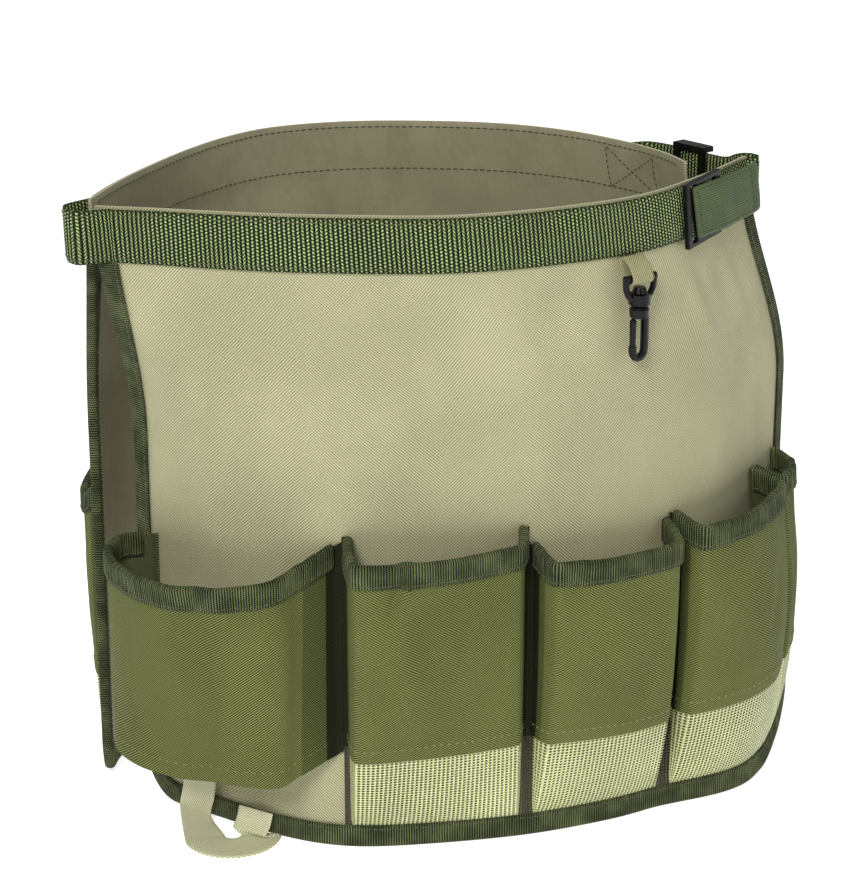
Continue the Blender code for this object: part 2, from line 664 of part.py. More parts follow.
ARM = [(7.9, 0, 0.9), (7.9, 0, -2.4), (7.5, 0, -5.2), (6.2, 0, -7.8), (4.2, 0, -9.6)]
base = rod_object("snap_hook_base", (-8.6, 0, 0), (8.6, 0, 0), BAR_R, BAR_R, frame, parts)
combine(base, [
    curve_piece("base_arm_left", [(-x, y, z) for x, y, z in ARM], 1.5, cutters),
    curve_piece("base_arm_right", ARM, 1.5, cutters),
    rod_object("base_hub", (0, 0, -7.4), (0, 0, -12.2), 5.0, 5.0, frame, cutters, 20),
], "UNION")
combine(base, [rod_object("base_bore", (0, 0, -5), (0, 0, -14), 2.4, 2.4, frame, cutters, 16)], "DIFFERENCE")
paint(base, "black")

hook = rod_object("snap_hook_body", (0, 0, -4.3), (0, 0, -6.9), 2.6, 3.5, frame, parts, 18)


hook_line = [(2.6, 0, -15.5), (3.3, 0, -18.5), (3.4, 0, -26), (3.3, 0, -32.6)]
for k in range(1, 8):
    f = math.radians(25.7 * k)
    hook_line.append((3.3 * math.cos(f), 0, -33.6 - 3.9 * math.sin(f)))
hook_line.append((-3.3, 0, -31.4))
combine(hook, [
    rod_object("hook_stem", (0, 0, -6.5), (0, 0, -13.5), 1.95, 1.95, frame, cutters, 16),
    rod_object("hook_neck", (0, 0, -12.8), (0, 0, -14.4), 3.2, 4.6, frame, cutters, 18),
    rod_object("hook_neck_low", (0, 0, -14.4), (0, 0, -18.2), 4.6, 4.3, frame, cutters, 18),
    curve_piece("hook_jaw", hook_line, 1.9, cutters),
], "UNION")
paint(hook, "black")

GATE_TOP = -20.2
GATE_AT = HOOK_AT + Vector((0, 0, GATE_TOP)) - 3.3 * HOOK_RIGHT
gate_frame = local_frame(GATE_AT, HOOK_RIGHT, HOOK_OUT)
gate = rod_object("snap_hook_gate", (0, 0, 0), (0, 0, -10.8), 1.6, 1.4, gate_frame, parts, 12)
combine(gate, [ball_object("gate_knuckle", (0, 0, 0), 1.65, gate_frame, cutters)], "UNION")
paint(gate, "black")

# ---------------------------------------------------------------- tool loop
# Flat strap from under the sleeve pocket, down and out over the floor, round
# in a flat turn and back up to the hem
LOOP_W, LOOP_THICK = 19.0, 1.4
LOOP_LEFT, LOOP_RIGHT = 40.5, 70.0           # where its two legs are sewn, along the front
LOOP_START, LOOP_R = Vector((-102.4, 37.6)), 13.6
LOOP_E1, LOOP_E2 = Vector((0.9703, -0.2419)), Vector((0.2419, 0.9703))


def wall_across(d, z, flip):
    t = FRONT.flat(d + 2, z) - FRONT.flat(d - 2, z)
    return flip * Vector((t.x, t.y, 0)).normalized()


loop = []                                    # centre, and across towards the middle of the loop
for n, z in ((2.6, 34.0), (3.8, 26.0), (6.0, 14.0), (8.6, 5.0)):
    loop.append((FRONT.at(LOOP_LEFT, z, n), wall_across(LOOP_LEFT, z, 1)))
for k in range(7):
    a = math.radians(30 * k)
    p = LOOP_START + LOOP_R * ((1 - math.cos(a)) * LOOP_E1 - math.sin(a) * LOOP_E2)
    side = math.cos(a) * LOOP_E1 + math.sin(a) * LOOP_E2
    loop.append((Vector((p.x, p.y, 1.4)), Vector((side.x, side.y, 0))))
for n, z in ((9.6, 3.4), (6.6, 7.4), (4.2, 13.0)):
    loop.append((FRONT.at(LOOP_RIGHT, z, n), wall_across(LOOP_RIGHT, z, -1)))
rings = []
for k, (c, across) in enumerate(loop):
    t = (loop[min(k + 1, len(loop) - 1)][0] - loop[max(k - 1, 0)][0]).normalized()
    face = t.cross(across).normalized()
    rings.append([c + LOOP_W / 2 * i * across + LOOP_THICK / 2 * j * face for i, j in ((-1, -1), (1, -1), (1, 1), (-1, 1))])
loft("tool_loop_strap", rings, "tape")

bpy.context.view_layer.update()
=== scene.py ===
"""Looks of the bucket-wrap garden tool bag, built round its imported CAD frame.

Every fabric piece is remade as its own fine shell: woven cloth with folds,
ribbed binding and webbing, an open mesh with real holes, rows of stitches,
and moulded black plastic.  Geometry is worked out in the bag's millimetres.
"""

import math

import bpy
import numpy as np
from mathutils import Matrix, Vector


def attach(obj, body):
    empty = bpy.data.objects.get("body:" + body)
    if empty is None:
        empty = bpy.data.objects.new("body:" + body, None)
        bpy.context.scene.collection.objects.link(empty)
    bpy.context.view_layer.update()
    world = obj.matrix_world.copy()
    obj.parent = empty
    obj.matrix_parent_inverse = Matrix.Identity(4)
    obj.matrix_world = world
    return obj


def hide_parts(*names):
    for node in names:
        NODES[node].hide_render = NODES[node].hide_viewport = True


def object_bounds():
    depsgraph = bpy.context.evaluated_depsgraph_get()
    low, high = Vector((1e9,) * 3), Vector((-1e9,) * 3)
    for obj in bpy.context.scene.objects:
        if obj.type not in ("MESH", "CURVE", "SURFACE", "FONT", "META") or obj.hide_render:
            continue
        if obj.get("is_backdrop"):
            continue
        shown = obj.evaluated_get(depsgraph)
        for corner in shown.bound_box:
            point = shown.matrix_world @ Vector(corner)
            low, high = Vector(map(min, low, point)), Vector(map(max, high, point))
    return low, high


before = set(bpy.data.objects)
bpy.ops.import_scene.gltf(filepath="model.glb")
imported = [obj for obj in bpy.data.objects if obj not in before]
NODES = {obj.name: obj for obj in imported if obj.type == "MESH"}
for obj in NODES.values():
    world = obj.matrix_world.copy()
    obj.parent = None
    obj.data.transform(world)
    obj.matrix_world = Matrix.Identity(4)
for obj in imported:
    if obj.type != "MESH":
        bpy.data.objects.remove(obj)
CAD_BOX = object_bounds()

# ------------------------------------------------------------------ dimensions
PANEL_TOP = 306.0
EDGE_OUT = 1.55
PANEL_BOTTOM = EDGE_OUT
PANEL_T = 1.6
CLEAR = 0.5
TAPE_T = 0.8
TAPE_GAP = 0.75
BIND_W = 10.0
POCKET_T = 1.2
BELT_Z0, BELT_Z1 = 280.3, 305.1
BELT_T = 1.8
CORNER_R = 25.0
WAIST_Z = 190.0
FLARE_Z = 150.0
SEAM_Z = 52.5
POCKET_FOOT_Z = 12.7
CENTRE = np.array((31.1, 105.5, 0.0))
MM = 0.001

FRONT_TOP = ((-140, 54), (-117, 44), (-76, 24.5), (-34, 9.5), (8, -1), (53, 1.5), (99, 15), (137, 43), (173, 78))
FRONT_LOW = ((-121, 86), (-110, 66), (-88, 45), (-62, 26), (-36, 12), (-4, 6), (44, 3.5), (85, 8), (113, 15.5), (140, 28), (160, 44.5), (177.5, 65), (192.5, 83.5), (204.5, 100))
BACK_TOP = ((-141, 67), (-125, 97), (-105, 127.5), (-81, 159), (-56, 184), (-30, 198.5), (8, 202), (50, 192), (84, 176), (110, 152), (128, 123), (138, 98), (142, 74))
BACK_LOW = ((-140, 104), (-133, 132), (-112, 163), (-78, 188), (-35, 202), (15, 206), (66, 200), (113, 184), (154, 160), (184, 136), (203.5, 111))
SLEEVE_TOP = ((-130.5, 76), (-139, 65), (-138, 47), (-126, 24), (-104, 9), (-76, 4), (-60, 9))
SLEEVE_LOW = ((-130.5, 75), (-139, 60), (-132, 40), (-116, 24), (-97, 14), (-75, 3.5), (-63, 8))


# ------------------------------------------------------------------ numbers
def smooth(x):
    x = np.clip(x, 0.0, 1.0)
    return x * x * (3 - 2 * x)


def unit(v):
    return v / np.maximum(np.linalg.norm(v, axis=-1, keepdims=True), 1e-12)


def scatter(i, j, seed):
    h = (i.astype(np.int64) * 374761393 + j.astype(np.int64) * 668265263 + seed * 974711) & 0xFFFFFFFF
    h = ((h ^ (h >> 13)) * 1274126177) & 0xFFFFFFFF
    return ((h ^ (h >> 16)) & 0xFFFF) / 32767.5 - 1.0


def ripple(u, v, seed=0):
    """Smooth value noise, -1 to 1, the same every run."""
    u, v = np.broadcast_arrays(np.asarray(u, float), np.asarray(v, float))
    i, j = np.floor(u), np.floor(v)
    a, b = u - i, v - j
    a, b = a * a * a * (a * (a * 6 - 15) + 10), b * b * b * (b * (b * 6 - 15) + 10)
    p, q = scatter(i, j, seed), scatter(i + 1, j, seed)
    r, s = scatter(i, j + 1, seed), scatter(i + 1, j + 1, seed)
    return (p * (1 - a) + q * a) * (1 - b) + (r * (1 - a) + s * a) * b


def spline(points, k):
    """Catmull-Rom through points (n, m), at index parameters k."""
    p = np.asarray(points, float)
    p = np.concatenate([2 * p[:1] - p[1:2], p, 2 * p[-1:] - p[-2:-1]])
    k = np.clip(np.asarray(k, float), 0, len(p) - 3 - 1e-9)
    i = np.floor(k).astype(int)
    t = (k - i)[..., None]
    a, b, c, d = p[i], p[i + 1], p[i + 2], p[i + 3]
    return 0.5 * ((2 * b) + (c - a) * t + (2 * a - 5 * b + 4 * c - d) * t * t + (3 * b - a - 3 * c + d) * t ** 3)


def along(points):
    """Distance along a polyline (n, 3)."""
    return np.concatenate([[0.0], np.cumsum(np.linalg.norm(np.diff(points, axis=0), axis=1))])


def respace(lines, step, curve=True):
    """Several matching polylines (n, 3) read again at even steps of the first
    two lines' middle."""
    stack = np.concatenate(lines, axis=1)
    if curve:
        stack = spline(stack, np.linspace(0, len(stack) - 1, (len(stack) - 1) * 16 + 1))
    mid = (stack[:, :3] + stack[:, 3:6]) / 2 if stack.shape[1] >= 6 else stack[:, :3]
    run = along(mid)
    count = max(2, int(round(run[-1] / step)) + 1)
    at = np.linspace(0, run[-1], count)
    fine = np.stack([np.interp(at, run, stack[:, c]) for c in range(stack.shape[1])], axis=1)
    return [fine[:, 3 * k:3 * k + 3] for k in range(stack.shape[1] // 3)], at


class Plan:
    def __init__(self, points, steps=24):
        p = np.array(points, float)
        p = np.vstack([2 * p[0] - p[1], p, 2 * p[-1] - p[-2]])
        t = (np.arange(steps) / steps)[:, None]
        line = []
        for i in range(1, len(p) - 2):
            a, b, c, d = p[i - 1:i + 3]
            line.append(0.5 * ((2 * b) + (c - a) * t + (2 * a - 5 * b + 4 * c - d) * t * t + (3 * b - a - 3 * c + d) * t ** 3))
        line.append(p[-2][None])
        self.line = np.vstack(line)
        self.run = along(self.line)
        self.length = self.run[-1]
        self.first = unit(self.line[1] - self.line[0])
        self.last = unit(self.line[-1] - self.line[-2])

    def at(self, s):
        s = np.asarray(s, float)
        xy = np.stack([np.interp(s, self.run, self.line[:, 0]), np.interp(s, self.run, self.line[:, 1])], -1)
        return xy + np.minimum(s, 0)[..., None] * self.first + np.maximum(s - self.length, 0)[..., None] * self.last


class Wall:
    def __init__(self, top, low, turn):
        self.top, self.low, self.turn = Plan(top), Plan(low), turn
        self.length = self.low.length

    def flat(self, d, z):
        d, z = np.broadcast_arrays(np.asarray(d, float), np.asarray(z, float))
        w = smooth((z - WAIST_Z) / (PANEL_TOP - WAIST_Z))[..., None]
        xy = self.low.at(d) * (1 - w) + self.top.at(d / self.length * self.top.length) * w
        g = np.clip((FLARE_Z - z) / FLARE_Z, 0, 1)
        if self.turn > 0:
            right, left = g * smooth((d - 262) / 60), g * smooth((100 - d) / 75)
            xy = xy + np.stack([11.0 * right + 1.0 * left, right * (-11.0 + 12.0 * smooth((d - 335) / 50)) + 11.0 * left], -1)
        else:
            xy = xy + np.stack([9.0 * g * smooth((d - self.length + 75) / 65), 0.0 * g], -1)
        return np.concatenate([xy, z[..., None]], -1)

    def out(self, d, z):
        t = self.flat(d + 2, z) - self.flat(d - 2, z)
        u = self.flat(d, np.minimum(z + 2, PANEL_TOP)) - self.flat(d, z - 2)
        return self.turn * unit(np.cross(t, u))

    def at(self, d, z, n=0.0):
        d, z, n = np.broadcast_arrays(np.asarray(d, float), np.asarray(z, float), np.asarray(n, float))
        return self.flat(d, z) + n[..., None] * self.out(d, z)

    def find_x(self, x, z=100.0):
        lo, hi = 0.0, self.length
        for _ in range(50):
            mid = (lo + hi) / 2
            lo, hi = (mid, hi) if self.flat(mid, z)[0] < x else (lo, mid)
        return (lo + hi) / 2


FRONT = Wall(FRONT_TOP, FRONT_LOW, 1)
BACK = Wall(BACK_TOP, BACK_LOW, -1)
V1, V2, V3, V4 = FRONT.find_x(-39), FRONT.find_x(46), FRONT.find_x(118), FRONT.find_x(176.5, 150.0)

# ------------------------------------------------------------------ camera, light, world
camera = bpy.data.cameras.new("camera")
camera.lens = 107.37
camera.sensor_width = 36.0
camera.clip_start, camera.clip_end = 0.05, 30.0
camera_object = bpy.data.objects.new("camera", camera)
camera_object.location = (-0.2972, -1.1728, 0.5803)
camera_object.rotation_euler = (math.radians(71.149), 0.0, math.radians(-14.0))
bpy.context.scene.collection.objects.link(camera_object)
bpy.context.scene.camera = camera_object
bpy.context.scene.view_settings.view_transform = "Standard"
bpy.context.scene.view_settings.look = "None"


def area_light(name, place, aim, size, power, colour=(1, 1, 1)):
    lamp = bpy.data.lights.new(name, "AREA")
    lamp.shape = "RECTANGLE"
    lamp.size, lamp.size_y = size
    lamp.energy = power
    lamp.color = colour
    o = bpy.data.objects.new(name, lamp)
    o.location = place
    o.rotation_euler = (Vector(aim) - Vector(place)).to_track_quat("-Z", "Y").to_euler()
    bpy.context.scene.collection.objects.link(o)


area_light("key", (-1.0, -1.75, 1.6), (0, 0, 0.15), (0.7, 0.7), 38.0, (1.0, 0.985, 0.94))
area_light("fill", (1.5, -1.6, 0.9), (0, 0, 0.15), (1.0, 1.0), 6.5, (0.97, 0.985, 1.0))
area_light("top", (0.2, 0.2, 2.2), (0, 0, 0.2), (1.2, 1.2), 18.0)

world = bpy.data.worlds.new("studio")
bpy.context.scene.world = world
world.use_nodes = True
world.node_tree.nodes["Background"].inputs[0].default_value = (1.0, 1.0, 1.0, 1)
world.node_tree.nodes["Background"].inputs[1].default_value = 0.25


# ------------------------------------------------------------------ materials
class Mat:
    """A node material with short helpers for procedural cloth."""

    def __init__(self, name):
        self.m = bpy.data.materials.new(name)
        self.m.use_nodes = True
        self.t = self.m.node_tree
        self.bsdf = self.t.nodes["Principled BSDF"]
        self._uv = self._obj = None

    def _set(self, socket, value):
        if isinstance(value, (int, float)):
            socket.default_value = value
        elif isinstance(value, tuple):
            socket.default_value = (*value, 1.0) if len(value) == 3 and socket.type == "RGBA" else value
        else:
            self.t.links.new(value, socket)

    def f(self, op, a, b=0.0, c=0.0):
        n = self.t.nodes.new("ShaderNodeMath")
        n.operation = op
        for k, v in enumerate((a, b, c)):
            self._set(n.inputs[k], v)
        return n.outputs[0]

    def uv(self):
        if self._uv is None:
            n = self.t.nodes.new("ShaderNodeUVMap")
            n.uv_map = "mm"
            s = self.t.nodes.new("ShaderNodeSeparateXYZ")
            self.t.links.new(n.outputs[0], s.inputs[0])
            self._uv = (s.outputs[0], s.outputs[1])
            self._uvv = n.outputs[0]
        return self._uv

    def noise(self, scale, detail=2.0, rough=0.5, stretch=(1, 1, 1), space="uv"):
        """Noise about 0.5; scale is features per millimetre."""
        if space == "uv":
            self.uv()
            source = self._uvv
        else:
            if self._obj is None:
                n = self.t.nodes.new("ShaderNodeTexCoord")
                v = self.t.nodes.new("ShaderNodeVectorMath")
                v.operation = "SCALE"
                self.t.links.new(n.outputs["Object"], v.inputs[0])
                v.inputs["Scale"].default_value = 1000.0
                self._obj = v.outputs[0]
            source = self._obj
        m = self.t.nodes.new("ShaderNodeVectorMath")
        m.operation = "MULTIPLY"
        self.t.links.new(source, m.inputs[0])
        m.inputs[1].default_value = stretch
        n = self.t.nodes.new("ShaderNodeTexNoise")
        n.inputs["Scale"].default_value = scale
        n.inputs["Detail"].default_value = detail
        n.inputs["Roughness"].default_value = rough
        self.t.links.new(m.outputs[0], n.inputs["Vector"])
        return n.outputs["Fac"]

    def ramp(self, value, lo, hi, out0=0.0, out1=1.0):
        n = self.t.nodes.new("ShaderNodeMapRange")
        n.interpolation_type = "SMOOTHSTEP"
        self._set(n.inputs["Value"], value)
        n.inputs["From Min"].default_value = lo
        n.inputs["From Max"].default_value = hi
        n.inputs["To Min"].default_value = out0
        n.inputs["To Max"].default_value = out1
        return n.outputs["Result"]

    def mix(self, fac, a, b):
        n = self.t.nodes.new("ShaderNodeMix")
        n.data_type = "RGBA"
        self._set(n.inputs[0], fac)
        self._set(n.inputs[6], a)
        self._set(n.inputs[7], b)
        return n.outputs[2]

    def tint(self, colour, amount):
        """Colour times a grey factor socket."""
        n = self.t.nodes.new("ShaderNodeMix")
        n.data_type = "RGBA"
        n.blend_type = "MULTIPLY"
        n.inputs[0].default_value = 1.0
        self._set(n.inputs[6], colour)
        self._set(n.inputs[7], amount)
        return n.outputs[2]

    def wave(self, a, period, phase=0.0):
        """cos(2 pi a / period + phase)."""
        return self.f("COSINE", self.f("MULTIPLY_ADD", a, 2 * math.pi / period, phase))

    def finish(self, colour, rough, height, depth, sheen=0.0, spec=0.3, sheen_rough=0.5):
        b = self.bsdf
        self._set(b.inputs["Base Color"], colour)
        self._set(b.inputs["Roughness"], rough)
        b.inputs["Specular IOR Level"].default_value = spec
        b.inputs["Sheen Weight"].default_value = sheen
        b.inputs["Sheen Roughness"].default_value = sheen_rough
        if height is not None:
            n = self.t.nodes.new("ShaderNodeBump")
            n.inputs["Strength"].default_value = 1.0
            n.inputs["Distance"].default_value = depth * MM
            self._set(n.inputs["Height"], height)
            self.t.links.new(n.outputs[0], b.inputs["Normal"])
        return self.m


def woven(name, light, dark, pu=1.9, pv=1.25, contrast=1.0, rough=0.78, sheen=0.15, wear=0.12, lean=0.5):
    """Oxford cloth: a lattice of yarn tops that reads as diagonal lines."""
    k = Mat(name)
    u, v = k.uv()
    swim = k.f("MULTIPLY", k.f("SUBTRACT", k.noise(0.35, 2.0), 0.5), 0.35)
    a = k.f("MULTIPLY_ADD", u, 2 * math.pi / pu, swim)
    b = k.f("MULTIPLY_ADD", v, 2 * math.pi / pv, swim)
    one = k.f("COSINE", k.f("ADD", a, b))
    two = k.f("COSINE", k.f("SUBTRACT", a, b))
    w = k.ramp(k.noise(0.016, 1.0, stretch=(1.0, 0.45, 1)), 0.40 + (0.5 - lean) * 0.2, 0.60 + (0.5 - lean) * 0.2)
    w = k.f("MULTIPLY_ADD", w, 0.7, 0.15)
    h = k.f("ADD", k.f("MULTIPLY", one, w), k.f("MULTIPLY", two, k.f("SUBTRACT", 1.0, w)))
    slub = k.noise(1.6, 2.0, stretch=(0.35, 1.6, 1))
    fac = k.f("MULTIPLY_ADD", h, 0.5 * contrast, 0.5)
    fac = k.f("ADD", fac, k.f("MULTIPLY", k.f("SUBTRACT", slub, 0.5), 0.35))
    colour = k.mix(k.ramp(fac, 0.0, 1.0), dark, light)
    cloud = k.ramp(k.noise(0.018, 3.0, 0.55, space="object"), 0.25, 0.75, 1.0 - wear, 1.0 + wear * 0.5)
    colour = k.tint(colour, cloud)
    return k.finish(colour, k.ramp(fac, 0.0, 1.0, rough + 0.1, rough - 0.08), fac, 0.16, sheen, spec=0.14)


def coated(name, base, shadow, rough=0.5, weave=0.25):
    """The smooth coated side of the cloth, with creases and a ghost of weave."""
    k = Mat(name)
    u, v = k.uv()
    cells = k.f("MULTIPLY", k.wave(u, 1.1), k.wave(v, 0.9))
    creases = k.noise(0.05, 5.0, 0.62, stretch=(1.0, 0.5, 1))
    fold = k.ramp(k.f("ABSOLUTE", k.f("SUBTRACT", creases, 0.5)), 0.0, 0.05, 0.0, 1.0)
    cloud = k.noise(0.012, 3.0, 0.6)
    colour = k.mix(k.ramp(cloud, 0.3, 0.7), shadow, base)
    colour = k.tint(colour, k.ramp(fold, 0.0, 1.0, 0.93, 1.0))
    height = k.f("ADD", k.f("MULTIPLY", cells, 0.05 * weave), k.f("MULTIPLY", creases, 1.5))
    return k.finish(colour, k.ramp(cloud, 0.3, 0.7, rough - 0.06, rough + 0.1), height, 0.9, 0.05, spec=0.42)


def webbing(name, light, mid, gap, width=24.8, rib=2.05, dot=1.62):
    """Ribbed webbing: columns of slanted yarn dots with dark gaps between."""
    k = Mat(name)
    u, v = k.uv()
    swim = k.f("MULTIPLY", k.f("SUBTRACT", k.noise(0.12, 2.0), 0.5), 0.5)
    uu = k.f("ADD", u, swim)
    col = k.f("DIVIDE", uu, rib)
    cell = k.f("FLOOR", col)
    across = k.f("SUBTRACT", k.f("SUBTRACT", col, cell), 0.5)          # -0.5 .. 0.5 in the rib
    parity = k.f("SUBTRACT", k.f("MULTIPLY", k.f("MODULO", k.f("ABSOLUTE", cell), 2.0), 2.0), 1.0)
    slant = k.f("MULTIPLY", k.f("MULTIPLY", across, parity), k.ramp(k.noise(0.03, 1.0), 0.35, 0.65, 0.3, 2.6))
    body = k.ramp(k.f("ABSOLUTE", across), 0.13, 0.36, 1.0, 0.0)
    d = k.f("COSINE", k.f("MULTIPLY", k.f("ADD", v, k.f("ADD", slant, k.f("MULTIPLY", parity, 0.4))), 2 * math.pi / dot))
    dots = k.ramp(d, -0.75, 0.75)
    fleck = k.noise(0.9, 2.0)
    lit = k.mix(k.f("MULTIPLY", dots, k.ramp(fleck, 0.25, 0.6, 0.55, 1.0)), mid, light)
    colour = k.mix(body, gap, lit)
    edge = k.f("MULTIPLY", k.ramp(v, 0.0, 1.1), k.ramp(v, width - 1.1, width, 1.0, 0.0))
    colour = k.mix(k.f("MULTIPLY_ADD", edge, 0.8, 0.2), k.mix(dots, gap, mid), colour)
    colour = k.tint(colour, k.ramp(k.noise(0.02, 3.0, space="object"), 0.25, 0.75, 0.86, 1.06))
    height = k.f("ADD", body, k.f("MULTIPLY", dots, 0.55))
    return k.finish(colour, k.ramp(dots, 0, 1, 0.8, 0.55), height, 0.42, 0.0, spec=0.18)


def grosgrain(name, light, dark, rib=1.2, dot=0.95):
    """Binding tape: fine ribs across it, speckled where the ribs cross the warp."""
    k = Mat(name)
    u, v = k.uv()
    swim = k.f("MULTIPLY", k.f("SUBTRACT", k.noise(0.15, 2.0), 0.5), 0.5)
    uu = k.f("ADD", u, swim)
    ribs = k.wave(uu, rib)
    cell = k.f("MODULO", k.f("ABSOLUTE", k.f("FLOOR", k.f("DIVIDE", uu, rib))), 2.0)
    d = k.f("COSINE", k.f("MULTIPLY_ADD", v, 2 * math.pi / dot, k.f("MULTIPLY", cell, math.pi)))
    bright = k.f("ADD", k.f("MULTIPLY", ribs, 0.62), k.f("MULTIPLY", d, 0.38))
    patch = k.ramp(k.noise(0.06, 3.0, 0.6), 0.3, 0.7, -0.35, 0.25)
    fac = k.ramp(k.f("ADD", bright, patch), -0.35, 1.1)
    colour = k.mix(fac, dark, light)
    colour = k.tint(colour, k.ramp(k.noise(0.03, 3.0, space="object"), 0.25, 0.75, 0.85, 1.08))
    height = k.f("ADD", ribs, k.f("MULTIPLY", d, 0.4))
    return k.finish(colour, 0.72, height, 0.2, 0.02, spec=0.16)


def netting(name, light, dark):
    """Coated mesh strands: slightly glossy, with swellings at the crossings."""
    k = Mat(name)
    u, v = k.uv()
    knots = k.f("MULTIPLY", k.wave(u, 2.05), k.wave(v, 1.6))
    fleck = k.noise(0.8, 3.0, 0.6)
    fac = k.f("ADD", k.f("MULTIPLY", knots, 0.22), fleck)
    colour = k.mix(k.ramp(fac, 0.25, 0.8), dark, light)
    colour = k.tint(colour, k.ramp(k.noise(0.03, 2.0, space="object"), 0.3, 0.7, 0.88, 1.05))
    return k.finish(colour, k.ramp(fleck, 0.3, 0.7, 0.38, 0.55), fac, 0.25, 0.0, spec=0.5)


def brushed_pad(name, light, dark):
    """Fastening tape seen from its woven back: fine lengthwise lines."""
    k = Mat(name)
    u, v = k.uv()
    lines = k.wave(k.f("ADD", v, k.f("MULTIPLY", k.noise(0.1, 2.0), 0.5)), 1.15)
    picks = k.wave(u, 0.9)
    fac = k.f("ADD", k.f("MULTIPLY_ADD", lines, 0.3, 0.4), k.f("MULTIPLY", k.f("SUBTRACT", k.noise(1.1, 3.0), 0.5), 0.7))
    fac = k.f("ADD", fac, k.f("MULTIPLY", picks, 0.06))
    colour = k.mix(k.ramp(fac, 0.0, 0.9), dark, light)
    colour = k.tint(colour, k.ramp(k.noise(0.05, 3.0), 0.3, 0.7, 0.88, 1.06))
    return k.finish(colour, 0.72, fac, 0.2, 0.05, spec=0.18)


def thread(name, light, dark):
    k = Mat(name)
    twist = k.noise(2.2, 2.0, space="object")
    colour = k.mix(k.ramp(twist, 0.3, 0.7), dark, light)
    return k.finish(colour, 0.6, twist, 0.1, 0.2)


def moulded(name, base, rough=0.26):
    """Black moulded plastic: soft gloss, a faint grain and dusty wear."""
    k = Mat(name)
    grain = k.noise(2.5, 3.0, 0.6, space="object")
    dust = k.noise(0.12, 4.0, 0.65, space="object")
    colour = k.mix(k.ramp(dust, 0.45, 0.75, 0.0, 0.35), base, tuple(2.6 * c + 0.006 for c in base))
    return k.finish(colour, k.ramp(dust, 0.3, 0.7, rough - 0.05, rough + 0.12), grain, 0.03, 0.0, spec=0.20)


def paper_label(name):
    k = Mat(name)
    u, v = k.uv()
    cells = k.f("MULTIPLY", k.wave(u, 0.7), k.wave(v, 0.7))
    colour = k.mix(k.ramp(k.noise(0.2, 3.0), 0.3, 0.7), (0.72, 0.72, 0.68), (0.85, 0.85, 0.82))
    return k.finish(colour, 0.45, cells, 0.04, 0.1, spec=0.5)


KHAKI = woven("khaki_oxford", (0.575, 0.565, 0.365), (0.20, 0.188, 0.098), pu=1.6, pv=1.5, contrast=1.08, sheen=0.05)
OLIVE = woven("olive_oxford", (0.222, 0.250, 0.074), (0.007, 0.009, 0.002), contrast=1.35, sheen=0.02)
# painted shade: two darker olive copies for the folded-in gusset sides, standing in for the shade in the narrow valleys
# between pockets
OLIVE_DEEP = woven("olive_oxford_gusset_painted_shade", (0.135, 0.155, 0.048), (0.006, 0.008, 0.002), contrast=1.2, sheen=0.0)
OLIVE_DARK = woven("olive_oxford_fold_painted_shade", (0.022, 0.026, 0.008), (0.002, 0.003, 0.001), contrast=1.0, sheen=0.0)
TAUPE = coated("taupe_coating", (0.30, 0.282, 0.178), (0.235, 0.218, 0.135))
OLIVE_IN = coated("olive_coating", (0.075, 0.085, 0.035), (0.05, 0.056, 0.022))
KHAKI_EDGE = woven("khaki_fold", (0.50, 0.48, 0.33), (0.30, 0.28, 0.18), contrast=0.7, sheen=0.05)
WEB = webbing("belt_webbing_weave", (0.50, 0.60, 0.27), (0.034, 0.062, 0.014), (0.0045, 0.0095, 0.002))
BIND = grosgrain("binding_grosgrain", (0.235, 0.272, 0.115), (0.004, 0.008, 0.002))
NET = netting("yellow_green_mesh", (0.74, 0.77, 0.43), (0.43, 0.46, 0.20))
# painted shade: a dark copy of the mesh colour for its inner side, hole walls and folded-in parts, so the holes read
# dark
NET_DARK = netting("shaded_mesh_side", (0.060, 0.060, 0.024), (0.022, 0.022, 0.008))
PAD = brushed_pad("fastening_tape", (0.110, 0.145, 0.065), (0.042, 0.060, 0.022))
STRAP = woven("khaki_strap_twill", (0.82, 0.82, 0.58), (0.42, 0.41, 0.25), pu=1.5, pv=1.5, contrast=1.0, sheen=0.05)
HOOK_STRAP = woven("khaki_hook_twill", (0.40, 0.39, 0.225), (0.17, 0.16, 0.075), pu=1.3, pv=1.3, contrast=0.9, sheen=0.03)
THREAD_PALE = thread("olive_pale_thread", (0.26, 0.28, 0.13), (0.12, 0.13, 0.05))
THREAD_DARK = thread("dark_green_thread", (0.045, 0.06, 0.025), (0.02, 0.03, 0.01))
THREAD_OLIVE = thread("olive_thread", (0.12, 0.15, 0.06), (0.04, 0.055, 0.02))
BLACK = moulded("black_plastic_gloss", (0.0035, 0.0035, 0.004))
LABEL = paper_label("blank_label")


